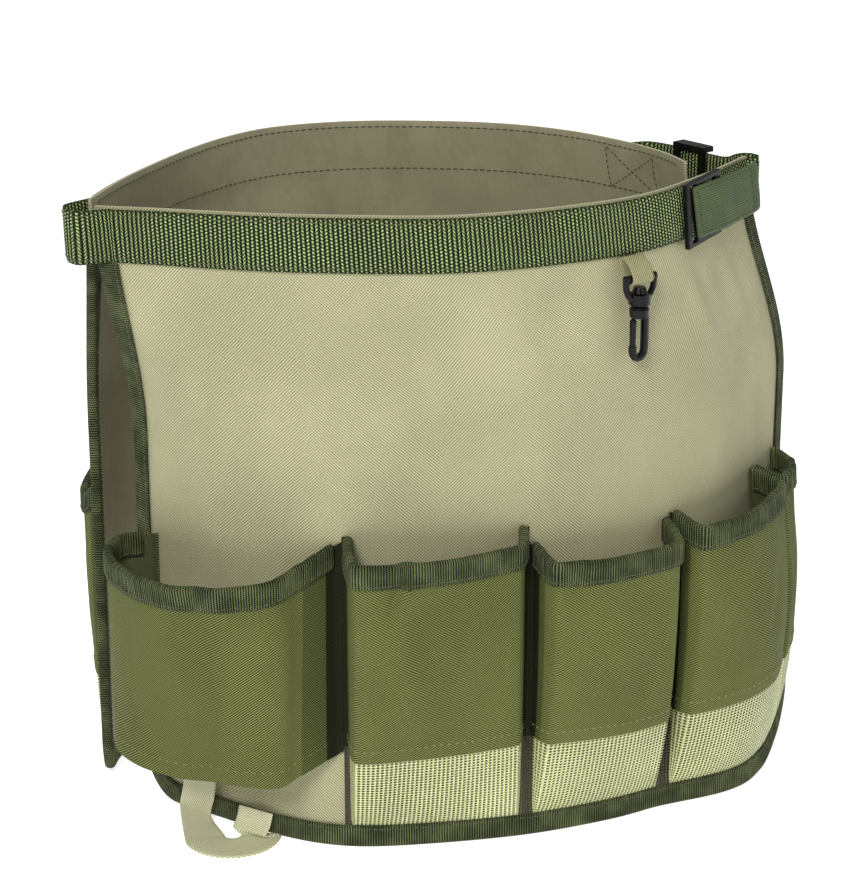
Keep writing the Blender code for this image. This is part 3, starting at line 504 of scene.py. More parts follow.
# ------------------------------------------------------------------ mesh building
def build(name, verts, quads, uv, index, mats, body="bag", nodes=(), slot=None, sharp=None):
    """A mesh object from arrays: verts in bag millimetres, quads, uv in mm."""
    me = bpy.data.meshes.new(name)
    co = (np.asarray(verts, float) - CENTRE) * MM
    me.vertices.add(len(co))
    me.vertices.foreach_set("co", co.astype(np.float32).ravel())
    quads = np.asarray(quads, np.int32)
    me.loops.add(quads.size)
    me.loops.foreach_set("vertex_index", quads.ravel())
    me.polygons.add(len(quads))
    me.polygons.foreach_set("loop_start", np.arange(len(quads), dtype=np.int32) * 4)
    me.update(calc_edges=True)
    me.polygons.foreach_set("material_index", np.asarray(index, np.int32))
    me.polygons.foreach_set("use_smooth", np.ones(len(quads), bool))
    layer = me.uv_layers.new(name="mm")
    layer.data.foreach_set("uv", np.asarray(uv, np.float32)[quads.ravel()].ravel())
    if sharp is not None:
        pairs = np.zeros(len(me.edges) * 2, np.int32)
        me.edges.foreach_get("vertices", pairs)
        pairs = pairs.reshape(-1, 2)
        flag = (sharp[pairs[:, 0]] > 0) & (sharp[pairs[:, 0]] == sharp[pairs[:, 1]])
        mark = me.attributes.new("sharp_edge", "BOOLEAN", "EDGE")
        mark.data.foreach_set("value", flag)
    for m in mats:
        me.materials.append(m)
    me.update()
    o = bpy.data.objects.new(name, me)
    bpy.context.scene.collection.objects.link(o)
    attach(o, body)
    if nodes:
        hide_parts(*nodes)
    return o


def grid_normals(P):
    return unit(np.cross(np.gradient(P, axis=1), np.gradient(P, axis=0)))


def shell_arrays(P, t0, t1, U, V, facing=None):
    """A closed skin on both sides of a grid of points, t0 to t1 along its
    normal.  Columns go left to right and rows up, seen from outside; facing is
    a rough outward vector that settles it otherwise."""
    R, C = P.shape[:2]
    N = grid_normals(P)
    flip = False
    if facing is not None:
        flip = float(np.mean(np.sum(N * facing, -1))) < 0
    if flip:
        N = -N
    t0 = np.broadcast_to(np.asarray(t0, float), (R, C))[..., None]
    t1 = np.broadcast_to(np.asarray(t1, float), (R, C))[..., None]
    outer, inner = P + N * t1, P + N * t0
    verts = np.concatenate([outer.reshape(-1, 3), inner.reshape(-1, 3)])
    g = np.arange(R * C).reshape(R, C)
    h = g + R * C
    face = np.stack([g[:-1, :-1], g[:-1, 1:], g[1:, 1:], g[1:, :-1]], -1).reshape(-1, 4)
    back = np.stack([h[:-1, :-1], h[1:, :-1], h[1:, 1:], h[:-1, 1:]], -1).reshape(-1, 4)
    rims = [np.stack([g[0, 1:], g[0, :-1], h[0, :-1], h[0, 1:]], -1),
            np.stack([g[1:, -1], g[:-1, -1], h[:-1, -1], h[1:, -1]], -1),
            np.stack([g[-1, :-1], g[-1, 1:], h[-1, 1:], h[-1, :-1]], -1),
            np.stack([g[:-1, 0], g[1:, 0], h[1:, 0], h[:-1, 0]], -1)]
    rim = np.concatenate(rims)
    quads = np.concatenate([face, back, rim])
    if flip:
        quads = quads[:, ::-1]
    index = np.concatenate([np.zeros(len(face)), np.ones(len(back)), np.full(len(rim), 2)])
    uv = np.stack([np.broadcast_to(U, (R, C)), np.broadcast_to(V, (R, C))], -1).reshape(-1, 2)
    uv = np.concatenate([uv, uv])
    edge = np.zeros((R, C), int)
    edge[0], edge[-1], edge[:, 0], edge[:, -1] = 1, 1, 1, 1
    sharp = np.concatenate([edge.ravel(), edge.ravel() * 2])
    return verts, quads, uv, index, sharp, N


def shell(name, P, t0, t1, U, V, mats, facing=None, crisp=True, **kw):
    verts, quads, uv, index, sharp, _ = shell_arrays(P, t0, t1, U, V, facing)
    return build(name, verts, quads, uv, index, mats, sharp=sharp if crisp else None, **kw)


# ------------------------------------------------------------------ stitches
def dash_template(length, r):
    rings = []
    for x, s in ((-0.5, 0.35), (-0.32, 1.0), (0.32, 1.0), (0.5, 0.35)):
        for k in range(6):
            a = math.pi / 3 * k
            rings.append((x * length, r * s * math.cos(a), r * s * math.sin(a) - (0.45 * r if abs(x) == 0.5 else 0.0)))
    quads = []
    for j in range(3):
        for k in range(6):
            a, b = j * 6 + k, j * 6 + (k + 1) % 6
            quads.append((a, b, b + 6, a + 6))
    quads += [(3, 2, 1, 0), (5, 4, 3, 0), (18, 19, 20, 21), (18, 21, 22, 23)]
    return np.array(rings), np.array(quads)


def dashes(name, seams, mat, pitch=3.3, length=2.5, r=0.26, lift=0.0, body="bag", slot=None):
    """Rows of stitches.  Each seam is (points (n, 3), outward normals (n, 3))."""
    tv, tq = dash_template(length, r)
    verts, quads = [], []
    count = 0
    for path, normal in seams:
        run = along(path)
        if run[-1] < pitch:
            continue
        n = max(1, int(run[-1] / pitch))
        at = (np.arange(n) + 0.5) * run[-1] / n
        pick = lambda s, arr: np.stack([np.interp(s, run, arr[:, c]) for c in range(3)], 1)
        c = pick(at, path)
        t = unit(pick(at + 0.8, path) - pick(at - 0.8, path))
        o = unit(pick(at, normal))
        s = unit(np.cross(o, t))
        o = np.cross(t, s)
        wob = 0.12 * ripple(at / 3.3 * 1.7, count + 0.5, 11)
        c = c + s * wob[:, None] + o * (lift + 0.35 * r)
        v = (c[:, None] + tv[None, :, 0:1] * t[:, None] + tv[None, :, 1:2] * s[:, None] + tv[None, :, 2:3] * o[:, None])
        verts.append(v.reshape(-1, 3))
        q = tq[None] + (np.arange(n) * len(tv))[:, None, None] + count
        quads.append(q.reshape(-1, 4))
        count += n * len(tv)
    verts, quads = np.concatenate(verts), np.concatenate(quads)
    return build(name, verts, quads, verts[:, :2], np.zeros(len(quads)), [mat], body=body, slot=slot)


# ------------------------------------------------------------------ panels
def panel_relief(wall, d, z):
    """Soft folds of the standing cloth, none near seams, belt and pockets."""
    L = wall.length
    m = smooth((z - 160) / 26) * smooth((276 - z) / 20) * smooth((d - 14) / 22) * smooth((L - 14 - d) / 20)
    seed = 3 if wall.turn > 0 else 23
    h = 1.5 * ripple(d / 44, z / 110, seed) + 0.8 * ripple(d / 21, z / 75, seed + 1) + 0.3 * ripple(d / 9, z / 26, seed + 2)
    if wall.turn > 0:
        near = smooth((d - 285) / 30) * smooth((z - 205) / 50)
        h = h + near * 0.5 * np.cos(2 * math.pi * d / 21.0 + 0.03 * z) * smooth((z - 185) / 60)
    else:
        h = h * 1.3
    return m * h


def panel_grid(wall, step=2.0):
    L = wall.length
    zs = np.concatenate([np.linspace(0, CORNER_R, 16)[:-1], np.linspace(CORNER_R, PANEL_TOP - PANEL_BOTTOM, int(280 / step))])
    inset = np.where(zs < CORNER_R, CORNER_R * (1 - np.sqrt(np.clip(1 - (1 - zs / CORNER_R) ** 2, 0, 1))), 0.0)
    cols = int(L / step)
    s = np.linspace(0, 1, cols)
    d = inset[:, None] + (L - 2 * inset[:, None]) * s[None]
    z = (zs + PANEL_BOTTOM)[:, None] * np.ones((1, cols))
    P = wall.at(d, z, panel_relief(wall, d, z))
    if wall.turn < 0:
        return P[:, ::-1], -d[:, ::-1], z
    return P, d, z


panels = {}
for wall, key in ((FRONT, "front"), (BACK, "back")):
    P, D, Z = panel_grid(wall)
    t0 = np.full(P.shape[:2], -PANEL_T)
    t0[-1] = -PANEL_T * 0.8
    hem = smooth((Z - 277) / 2.0) * (1 - smooth((Z - 303) / 3.0))       # doubled hem inside
    panels[key] = shell(key + "_panel_cloth", P, t0 - 0.25 * hem, 0.0 * Z, D, Z, [KHAKI, TAUPE, KHAKI_EDGE],
                        nodes=(key + "_panel",), slot="khaki_cloth")
    # a row of stitches inside, just under the top edge, and one below the belt's lower edge
    seams = []
    for z in (303.2, 281.6):
        d = np.linspace(7, wall.length - 7, 260)
        seams.append((wall.at(d, z, -PANEL_T - 0.25), -wall.out(d, z)))
    panels[key + "_stitch"] = dashes(key + "_panel_inside_stitches", seams, THREAD_DARK, pitch=3.4, length=2.5, r=0.30, slot="webbing")


# ------------------------------------------------------------------ binding tapes
def fold_path(thick, width=BIND_W, rows=6):
    """Cross-section of a tape folded over an edge: (into the sheet, out of it),
    from the end of its outer side round to the end of its inner side."""
    g, t = TAPE_GAP, TAPE_T
    o, i = g + t / 2, -thick - g - t / 2
    mid, half = (o + i) / 2, (o - i) / 2
    a = list(np.linspace(width, 0.6, rows)) + [-(g + t / 2) * math.sin(f) for f in np.linspace(0.25, math.pi - 0.25, 6)] + list(np.linspace(0.6, width, rows))
    n = [o] * rows + [mid + half * math.cos(f) for f in np.linspace(0.25, math.pi - 0.25, 6)] + [i] * rows
    return np.array(a), np.array(n)


def tape_shell(name, P, run, node, rib=1.2):
    """P rows follow the fold, columns the length."""
    rows = P.shape[0]
    ribs = 0.5 + 0.5 * np.cos(2 * math.pi * run / rib)[None] * np.ones((rows, 1))
    V = along(P[:, P.shape[1] // 2])[:, None]
    edge = np.ones(rows)
    edge[0] = edge[-1] = 0.35
    t = TAPE_T / 2 * edge[:, None]
    outward = P - P.mean(0, keepdims=True)
    return shell(name, P, -t * np.ones_like(ribs), t * (0.62 + 0.5 * ribs), run[None], V, [BIND, BIND, BIND],
                 facing=unit(outward), crisp=False, nodes=(node,), slot="binding_tape")


def wall_tape(name, node, wall, d, z, du, dz, seam_inner=True):
    a, n = fold_path(PANEL_T)
    P0 = wall.at(d, z, 0)
    run = along(P0)
    scallop = 1 + 0.012 * np.cos(2 * math.pi * run / 1.45)
    A, N = a[:, None] * scallop[None], n[:, None] * np.ones_like(run)[None]
    P = wall.at(d[None] + A * du[None], z[None] + A * dz[None], N)
    o = tape_shell(name, P, run, node)
    at = BIND_W - 1.8
    seams = [(wall.at(d + at * du, z + at * dz, TAPE_GAP + TAPE_T), wall.out(d + at * du, z + at * dz)),
             (wall.at(d + at * du, z + at * dz, -PANEL_T - TAPE_GAP - TAPE_T), -wall.out(d + at * du, z + at * dz))]
    dashes(name + "_stitches", seams, THREAD_OLIVE, pitch=3.2, length=2.3, r=0.22, slot="binding_tape")
    return o


for wall, key in ((FRONT, "front"), (BACK, "back")):
    L = wall.length
    d = np.arange(CORNER_R + 0.5, L - CORNER_R - 0.5, 0.36)
    wall_tape(key + "_hem_binding", key + "_hem_tape", wall, d, np.full_like(d, PANEL_BOTTOM), np.zeros_like(d), np.ones_like(d))
    for side, way in (("left", 1), ("right", -1)):
        zs = np.arange(BELT_Z0 - 1.0, PANEL_BOTTOM + CORNER_R, -0.36)
        f = np.radians(np.linspace(90, 0, 110))
        dd = np.concatenate([np.zeros_like(zs), CORNER_R * (1 - np.sin(f))])
        zz = np.concatenate([zs, PANEL_BOTTOM + CORNER_R * (1 - np.cos(f))])
        du = np.concatenate([np.ones_like(zs), np.sin(f)]) * way
        dz = np.concatenate([np.zeros_like(zs), np.cos(f)])
        if way < 0:
            dd = L - dd
        wall_tape("%s_%s_binding" % (key, side), "%s_edge_tape_%s" % (key, side), wall, dd, zz, du, dz)


def edge_binding(name, node, edge, inward, out, thick):
    """Binding over a free cloth edge: edge points on its outer face."""
    (p, i, o), run = respace([edge, inward, out], 0.36, curve=False)
    run = along(p)
    i, o = unit(i), unit(o)
    a, n = fold_path(thick)
    scallop = (1 + 0.014 * np.cos(2 * math.pi * run / 1.2))[None, :, None]
    P = p[None] + a[:, None, None] * scallop * i[None] + n[:, None, None] * o[None]
    piece = tape_shell(name, P, run, node)
    at = BIND_W - 1.8
    seams = [(p + at * i + (TAPE_GAP + TAPE_T) * o, o), (p + at * i - (thick + TAPE_GAP + TAPE_T) * o, -o)]
    dashes(name + "_stitches", seams, THREAD_OLIVE, pitch=3.2, length=2.3, r=0.22, slot="binding_tape")
    return piece


# ------------------------------------------------------------------ pockets
def fullness(z):
    return np.maximum(0.0, np.sin(math.pi / 2 * np.clip((z - POCKET_FOOT_Z) / 95.0, 0, 1))) ** 0.75


class Pocket:
    def __init__(self, wall, d0, d1, n0, n1, in0, in1, top0, top1, crown=2.5, end0=False, end1=False, seed=0, creases=()):
        self.__dict__.update(locals())

    def shape(self, k, z):
        """Distance along the wall and depth off it, at column k (0 to 10)."""
        f = fullness(z)
        lean = 0.3 + 0.7 * f
        ro = 9.0 * (1 - smooth((z - POCKET_FOOT_Z) / 16.0))
        d0 = self.d0 + (ro if self.end0 else 0.0)
        d1 = self.d1 - (ro if self.end1 else 0.0)
        a0, a1 = d0 + 3.6 + (self.in0 - 3.6) * lean, d1 - 3.6 - (self.in1 - 3.6) * lean
        p0, p1 = CLEAR + (self.n0 - CLEAR) * f, CLEAR + (self.n1 - CLEAR) * f
        s = np.clip((k - 2) / 6, 0, 1)
        face_n = p0 + (p1 - p0) * s + self.crown * f * np.sin(math.pi * s)
        g0, g1 = np.clip(k - 1, 0, 1), np.clip(k - 8, 0, 1)
        bow0, bow1 = -1.1 * f * np.sin(math.pi * g0), -1.1 * f * np.sin(math.pi * g1)
        d = np.where(k < 1, d0 + 0.15 + 3.25 * k, np.where(k < 2, d0 + 3.4 + (a0 - d0 - 3.4) * g0 + bow0, np.where(
            k <= 8, a0 + (a1 - a0) * s, np.where(k < 9, a1 + (d1 - 3.4 - a1) * g1 - bow1, d1 - 3.4 + 3.25 * (k - 9)))))
        n = np.where(k < 1, CLEAR, np.where(k < 2, CLEAR + (p0 - CLEAR) * g0, np.where(
            k <= 8, face_n, np.where(k < 9, p1 + (CLEAR - p1) * g1, CLEAR))))
        return d, n

    def relief(self, k, z):
        f = fullness(z)
        m = smooth((k - 1.4) / 1.2) * smooth((8.6 - k) / 1.2) * f
        x = (k - 2) / 6 * 70
        h = 1.5 * ripple(x / 24, z / 46, self.seed) + 0.5 * ripple(x / 10, z / 22, self.seed + 5)
        for kx, kz, lx, lz, w, depth in self.creases:      # a soft fold: start, run, width, depth
            length = math.hypot(lx, lz)
            tx, tz = lx / length, lz / length
            a = (x - kx) * tx + (z - kz) * tz
            b = -(x - kx) * tz + (z - kz) * tx
            h = h - depth * np.exp(-(b / w) ** 2) * smooth(a / (0.2 * length) + 0.5) * smooth((length - a) / (0.6 * length))
        return m * h

    def at(self, k, z):
        d, n = self.shape(k, z)
        return self.wall.at(d, z, n + self.relief(k, z))

    def lip(self, k):
        return (self.top0 + (self.top1 - self.top0) * k / 10 - 1.2 * np.sin(math.pi * k / 10)
                + 4.5 * smooth((2.0 - k) / 0.9) + 4.5 * smooth((k - 8.0) / 0.9))


def soften(P, times=3):
    """Round the folds a little, along the columns, keeping the two ends."""
    for _ in range(times):
        Q = P.copy()
        Q[:, 1:-1] = 0.25 * P[:, :-2] + 0.5 * P[:, 1:-1] + 0.25 * P[:, 2:]
        P = Q
    return P


COLUMNS = np.concatenate([[0, 0.5], np.linspace(1, 2, 22)[:-1], np.linspace(2, 8, 66)[:-1], np.linspace(8, 9, 22)[:-1], [9, 9.5, 10]])


def lattice(name, P_at, width, height, node, fold, pu=2.05, pv=1.6, hole=(1.20, 0.94), thick=0.7, facing=None):
    """An open mesh: P_at(u, v) gives points; real square holes."""
    nc, nr = int(width / pu), int(height / pv)
    pu, pv = width / nc, height / nr
    u = np.sort(np.concatenate([np.arange(nc) * pu + (pu - hole[0]) / 2, np.arange(nc) * pu + (pu + hole[0]) / 2]))
    v = np.sort(np.concatenate([np.arange(nr) * pv + (pv - hole[1]) / 2, np.arange(nr) * pv + (pv + hole[1]) / 2]))
    u = np.concatenate([[0.0], u, [width]])
    v = np.concatenate([[0.0], v, [height]])
    folded = (u[:-1] < fold[0]) | (u[1:] > fold[1])          # the parts folded in beside the face, which get the painted shade
    U, V = np.meshgrid(u, v)
    P = P_at(U, V)
    verts, quads, uv, index, sharp, N = shell_arrays(P, 0.15, 0.15 + thick, U, V, facing)
    R, C = P.shape[:2]
    cells = (R - 1) * (C - 1)
    r, c = np.divmod(np.arange(cells), C - 1)
    is_hole = (r % 2 == 1) & (c % 2 == 1)
    keep = np.concatenate([~is_hole, ~is_hole, np.ones(len(quads) - 2 * cells, bool)])
    h = np.where(is_hole)[0]
    a = r[h] * C + c[h]
    o = R * C
    walls = []
    for p, q in ((a, a + 1), (a + 1, a + C + 1), (a + C + 1, a + C), (a + C, a)):
        walls.append(np.stack([p, q, q + o, p + o], -1))
    walls = np.concatenate(walls)
    if np.array_equal(quads[0], np.array([C, C + 1, 1, 0])):
        walls = walls[:, ::-1]
    outer = (np.arange(len(quads)) < cells)[keep]
    quads = np.concatenate([quads[keep], walls])
    # inner faces and hole walls get the dark mesh colour, a painted shade that darkens the holes; the folded-in parts
    # of the outer face get it too
    index = np.concatenate([np.where(outer, 0, 1), np.ones(len(walls), int)])
    index[:int(outer.sum())] = np.where(folded[c[~is_hole]], 1, 0)
    return build(name, verts, quads, uv, index, [NET, NET_DARK], nodes=(node,), slot="open_mesh")


def shade_gussets(o, cells):
    """Paints shade into the folded-in sides: darker olive copies stand in for the shade in the valleys between pockets.
    """
    index = np.zeros(len(o.data.polygons), np.int32)
    o.data.polygons.foreach_get("material_index", index)
    index[:cells.size] = np.where(cells.ravel() > 0, 2 + cells.ravel(), index[:cells.size])
    o.data.polygons.foreach_set("material_index", index)


def make_pocket(name, pk):
    wall = pk.wall
    turn = (lambda A: A[:, ::-1]) if wall.turn < 0 else (lambda A: A)
    k = COLUMNS[None] * np.ones((44, 1))
    share = np.linspace(0, 1, 44)[:, None]
    z0 = SEAM_Z + 0.15
    z = z0 + (pk.lip(k) - z0) * share
    P = soften(pk.at(k, z))
    U = along(P[-1])[None] * np.ones_like(k)
    t1 = np.full(P.shape[:2], POCKET_T)
    fold = (share < 0.085) * np.ones_like(k)                              # turned hem over the mesh
    t1 = t1 + 0.35 * fold * smooth(share / 0.02)
    cloth = shell(name + "_cloth_weave", turn(P), 0.0, turn(t1), turn(U), turn(z), [OLIVE, OLIVE_IN, OLIVE, OLIVE_DEEP, OLIVE_DARK],
                  nodes=(name + "_cloth",), slot="olive_cloth")
    # painted shade: cells deep in the folded-in sides take the darker olive copies, one step darker again nearer the
    # valley
    kk = (k[:-1, :-1] + k[:-1, 1:]) / 2
    fold = np.where((kk < 1.62) | (kk > 8.38), 1, 0) + np.where((kk < 1.36) | (kk > 8.64), 1, 0)
    shade_gussets(cloth, turn(fold))
    N = grid_normals(turn(P))
    N = turn(N)
    # pale stitches over the hem of the cloth, on the face between the creases
    span = (COLUMNS > 1.05) & (COLUMNS < 8.95)
    row = int(np.argmin(abs(z[:, 20] - (SEAM_Z + 7.5))))
    st = dashes(name + "_hem_stitches", [(P[row, span] + N[row, span] * (POCKET_T + 0.3), N[row, span])],
                THREAD_PALE, pitch=3.6, length=1.7, r=0.27, slot="olive_cloth")
    # binding over the mouth, from part way up one gusset to part way down the other
    part = (COLUMNS > 1.05) & (COLUMNS < 8.95)
    edge = P[-1, part] + POCKET_T * N[-1, part]
    down = unit(P[-6, part] - P[-1, part])
    tape = edge_binding(name + "_mouth_binding", name + "_mouth_tape", edge, down, N[-1, part], POCKET_T)
    # open mesh below
    low, high = 11.9, SEAM_Z - 0.15
    dense = np.linspace(0, 10, 600)
    mid_line = pk.at(dense, np.full_like(dense, 36.0))
    run = along(mid_line)
    side = pk.at(np.full(200, 5.0), np.linspace(low, high, 200))
    up = along(side)

    def at(U, V):
        if wall.turn < 0:
            U = run[-1] - U
        kk = np.interp(U, run, dense)
        zz = np.interp(V, up, np.linspace(low, high, 200))
        return pk.at(kk, zz)
    # where the painted shade on the folded-in mesh begins and ends
    fold = np.interp((1.08, 8.92), dense, run)
    if wall.turn < 0:
        fold = (run[-1] - fold[1], run[-1] - fold[0])
    net = lattice(name + "_open_mesh", at, run[-1], up[-1], name + "_mesh", fold, facing=wall.turn_out)
    round(float(along(P[-1])[-1]) * MM, 3)
    round(float(along(P[:, 60])[-1]) * MM, 3)
    return P


FRONT.turn_out = np.array((0.0, -1.0, 0.0))
BACK.turn_out = np.array((0.0, 1.0, 0.0))

make_pocket("front_pocket_2", Pocket(FRONT, V1, V2, 26, 13, 8, 8, 152, 153, seed=31,
                                     creases=((19, 151, -9, -30, 3.0, 5.0), (24, 132, 9, -62, 7, 3.6), (30, 60, 22, 34, 5, 1.8))))
make_pocket("front_pocket_3", Pocket(FRONT, V2, V3, 19, 19, 8, 8, 144, 146, seed=37,
                                     creases=((14, 142, -8, -26, 4, 2.2), (50, 70, 14, 50, 6, 1.8))))
make_pocket("front_pocket_4", Pocket(FRONT, V3, V4, 19, 16, 8, 3.6, 148, 149, seed=41,
                                     creases=((20, 142, -8, -40, 5, 2.4), (44, 80, 12, 50, 6, 1.6))))
make_pocket("front_pocket_5", Pocket(FRONT, V4, FRONT.length - 11.5, 15, 11, 5, 4, 149, 149, crown=1.0, end1=True, seed=43))
STEP = (BACK.length - 24.0) / 5
for i in range(5):
    a = 12.0 + i * STEP
    first, last = i == 0, i == 4
    make_pocket("back_pocket_%d" % (i + 1), Pocket(
        BACK, a, a + STEP, 4.5 if first else 20, 13 if last else 20, 7, 3 if last else 8,
        146 if i % 2 else 148, 148 if i % 2 else 146, end0=first, end1=last, seed=51 + 7 * i,
        creases=((15 + 5 * i, 142, -7, -30, 4, 1.4), (48 - 3 * i, 66, 12, 36, 5, 1.1))))

# ------------------------------------------------------------------ sleeve pocket
SLEEVE_MOUTH = (143, 142, 141, 139, 138, 137.5, 138, 140, 145, 152, 154)
SLEEVE_HEM = (47, 46, 44, 42, 41, 40, 40, 39.5, 41.5, 48, 50)


def sleeve(k, share):
    """Inner face of the sleeve at column k (0 to 10) and share of its height."""
    lo = spline(np.array(SLEEVE_HEM, float)[:, None], k)[..., 0]
    hi = spline(np.array(SLEEVE_MOUTH, float)[:, None], k)[..., 0]
    z = lo + (hi - lo) * share
    s = np.clip((z - 42.0) / 101.0, 0, 1)
    pts = []
    for j in range(11):
        if j < 2:
            pts.append(FRONT.at((15.5, 12.6)[j], z, CLEAR + POCKET_T)[..., :2])
        elif j > 8:
            pts.append(FRONT.at((V1 - 3.4, V1 - 0.1)[j - 9], z, CLEAR)[..., :2])
        else:
            a, b = np.array(SLEEVE_LOW[j - 2]), np.array(SLEEVE_TOP[j - 2])
            pts.append(a + (b - a) * s[..., None])
    pts = np.stack(pts, 0)
    i = np.clip(np.floor(k).astype(int), 0, 9)
    t = (k - i)[..., None]
    take = lambda j: np.take_along_axis(pts, np.clip(j, 0, 10)[None, ..., None], 0)[0]
    a, b, c, d = take(i - 1), take(i), take(i + 1), take(i + 2)
    curve = 0.5 * ((2 * b) + (c - a) * t + (2 * a - 5 * b + 4 * c - d) * t * t + (3 * b - a - 3 * c + d) * t ** 3)
    line = b + (c - b) * t
    straight = ((k < 2.0) | (k > 8.0))[..., None]
    xy = np.where(straight, line, curve)
    return np.concatenate([xy, z[..., None]], -1), z


SLEEVE_K = np.concatenate([np.linspace(0, 2, 16)[:-1], np.linspace(2, 8, 100)[:-1], np.linspace(8, 9, 22)[:-1], [9, 9.5, 10]])
k = SLEEVE_K[None] * np.ones((52, 1))
share = np.linspace(0, 1, 52)[:, None] * np.ones_like(k)
P, Z = sleeve(k, share)
N = grid_normals(P)
mask = smooth((k - 2.4) / 1.0) * smooth((8.2 - k) / 1.0)
x = along(P[-1])[None] * np.ones_like(k)
relief = 1.3 * ripple(x / 30, Z / 80, 61) + 0.5 * ripple(x / 13, Z / 34, 62)
relief = relief - 1.6 * np.exp(-((x - 96 - (Z - 100) * 0.06) / 6) ** 2) * smooth((Z - 70) / 40) + 0.9 * np.exp(-((x - 108) / 5) ** 2)
P = soften(P + N * (mask * relief)[..., None], 2)
U = x
t1 = POCKET_T + 0.35 * smooth((0.095 - share) / 0.01)
sleeve_cloth = shell("front_sleeve_pocket_weave", P, 0.0, t1, U, Z, [OLIVE, OLIVE_IN, OLIVE, OLIVE_DEEP, OLIVE_DARK],
                     nodes=("front_sleeve_pocket_cloth",), slot="olive_cloth")
# painted shade: the sleeve's folded-in sides take the darker olive copies, darkest near its right-hand valley
shade_gussets(sleeve_cloth, np.where((k[:-1, 1:] > 8.1) | (k[:-1, 1:] < 1.6), 1, 0) + np.where(k[:-1, 1:] > 8.75, 1, 0))
N = grid_normals(P)
row = int(np.argmin(abs(share[:, 0] - 0.085)))
inner = (SLEEVE_K > 1.9) & (SLEEVE_K < 8.8)
sleeve_stitch = dashes("front_sleeve_pocket_hem_stitches", [(P[row, inner] + N[row, inner] * (POCKET_T + 0.2), N[row, inner])],
                       THREAD_PALE, pitch=4.2, length=2.2, r=0.2, slot="olive_cloth")
part = (SLEEVE_K > 1.3) & (SLEEVE_K < 8.95)
sleeve_tape = edge_binding("front_sleeve_pocket_mouth_binding", "front_sleeve_pocket_mouth_tape",
                           P[-1, part] + POCKET_T * N[-1, part], unit(P[-6, part] - P[-1, part]), N[-1, part], POCKET_T)
round(float(along(P[0])[-1]) * MM, 3)

# blank label, over the panel's edge behind the sleeve pocket
d = np.linspace(-4.5, 5.5, 14)[None] * np.ones((20, 1))
z = np.linspace(109, 132, 20)[:, None] * np.ones((1, 14))
curl = 0.5 * smooth((-d - 1) / 4.0)
shell("care_label_sheet", FRONT.at(d, z, 2.15 + curl), 0.0, 0.25, d, z, [LABEL, LABEL, LABEL], nodes=("care_label",), slot="label_cloth")

# ------------------------------------------------------------------ belt and straps
BUCKLE_D = FRONT.find_x(133.5, 293.0)
BUCKLE_OUT = unit(FRONT.out(BUCKLE_D, 293.0) * np.array((1, 1, 0)))
BUCKLE_RIGHT = np.array((-BUCKLE_OUT[1], BUCKLE_OUT[0], 0))
BUCKLE_AT = FRONT.at(BUCKLE_D, 292.7, 0)
BUCKLE_UP = unit(FRONT.flat(BUCKLE_D, BELT_Z1) - FRONT.flat(BUCKLE_D, BELT_Z0))
BUCKLE_OUT = unit(np.cross(BUCKLE_RIGHT, BUCKLE_UP))
BUCKLE_N0, BUCKLE_N1 = 4.0, 6.8
SLOT_U = -10.4
TAIL_N = BUCKLE_N1 + 0.4


def buckle_point(u, z, n):
    return BUCKLE_AT + u * BUCKLE_RIGHT + n * BUCKLE_OUT + (z - 292.7) * BUCKLE_UP


def d_of_buckle(u):
    return FRONT.find_x(buckle_point(u, 293, 0)[0], 293.0)


def strap(name, low, high, thick, mats, node, facing_left=False, body="bag", slot="webbing", rib=2.05, rise=0.34, step=0.5, rows=9, offset=0.0):
    """A webbing strap standing on edge, its ribs in the shape itself."""
    (lo, hi), run = respace([np.array(low), np.array(high)], step)
    if facing_left:
        lo, hi, run = lo[::-1], hi[::-1], run
    w = np.linspace(0, 1, rows)
    P = lo[None] * (1 - w)[:, None, None] + hi[None] * w[:, None, None]
    ribs = 0.5 + 0.5 * np.cos(2 * math.pi * (run - rib / 2) / rib)
    edge = np.ones(rows)
    edge[0] = edge[-1] = 0.45
    t0 = offset + thick * 0.5 * (1 - edge[:, None]) + rise * (1 - ribs)[None] * 0.5
    t1 = offset + thick * (0.5 + 0.5 * edge[:, None]) - rise * (1 - ribs)[None]
    V = (w * np.linalg.norm(hi - lo, axis=1).mean())[:, None]
    return shell(name, P, t0, t1, run[None], V, mats, crisp=False, body=body, nodes=(node,) if node else (), slot=slot), P


belt_low, belt_high = [], []
for d in np.linspace(d_of_buckle(SLOT_U - 2.2), 6.0, 60):
    belt_low.append(FRONT.at(d, BELT_Z0, CLEAR))
    belt_high.append(FRONT.at(d, BELT_Z1, CLEAR))
for x, y in ((-146.5, 50.6), (-150.4, 53.6), (-151.6, 58.6), (-150.2, 64.0)):
    belt_low.append(np.array((x + 0.8, y + 1.2, BELT_Z0)))
    belt_high.append(np.array((x, y, BELT_Z1)))
BELT_END = BACK.find_x(127.0, 293.0)
for d in np.linspace(5.0, BELT_END, 70):
    belt_low.append(BACK.at(d, BELT_Z0, CLEAR))
    belt_high.append(BACK.at(d, BELT_Z1, CLEAR))
belt, BP = strap("belt_ribbed_webbing", belt_low, belt_high, BELT_T, [WEB, WEB, WEB], "belt_webbing", facing_left=True)
BN = grid_normals(BP)
seams = []
for w in (0.09, 0.91):
    path = BP[0] * (1 - w) + BP[-1] * w + BN[4] * (BELT_T - 0.08)
    seams.append((path, BN[4]))
dashes("belt_stitches", seams, THREAD_OLIVE, pitch=3.3, length=3.0, r=0.17, slot="webbing")

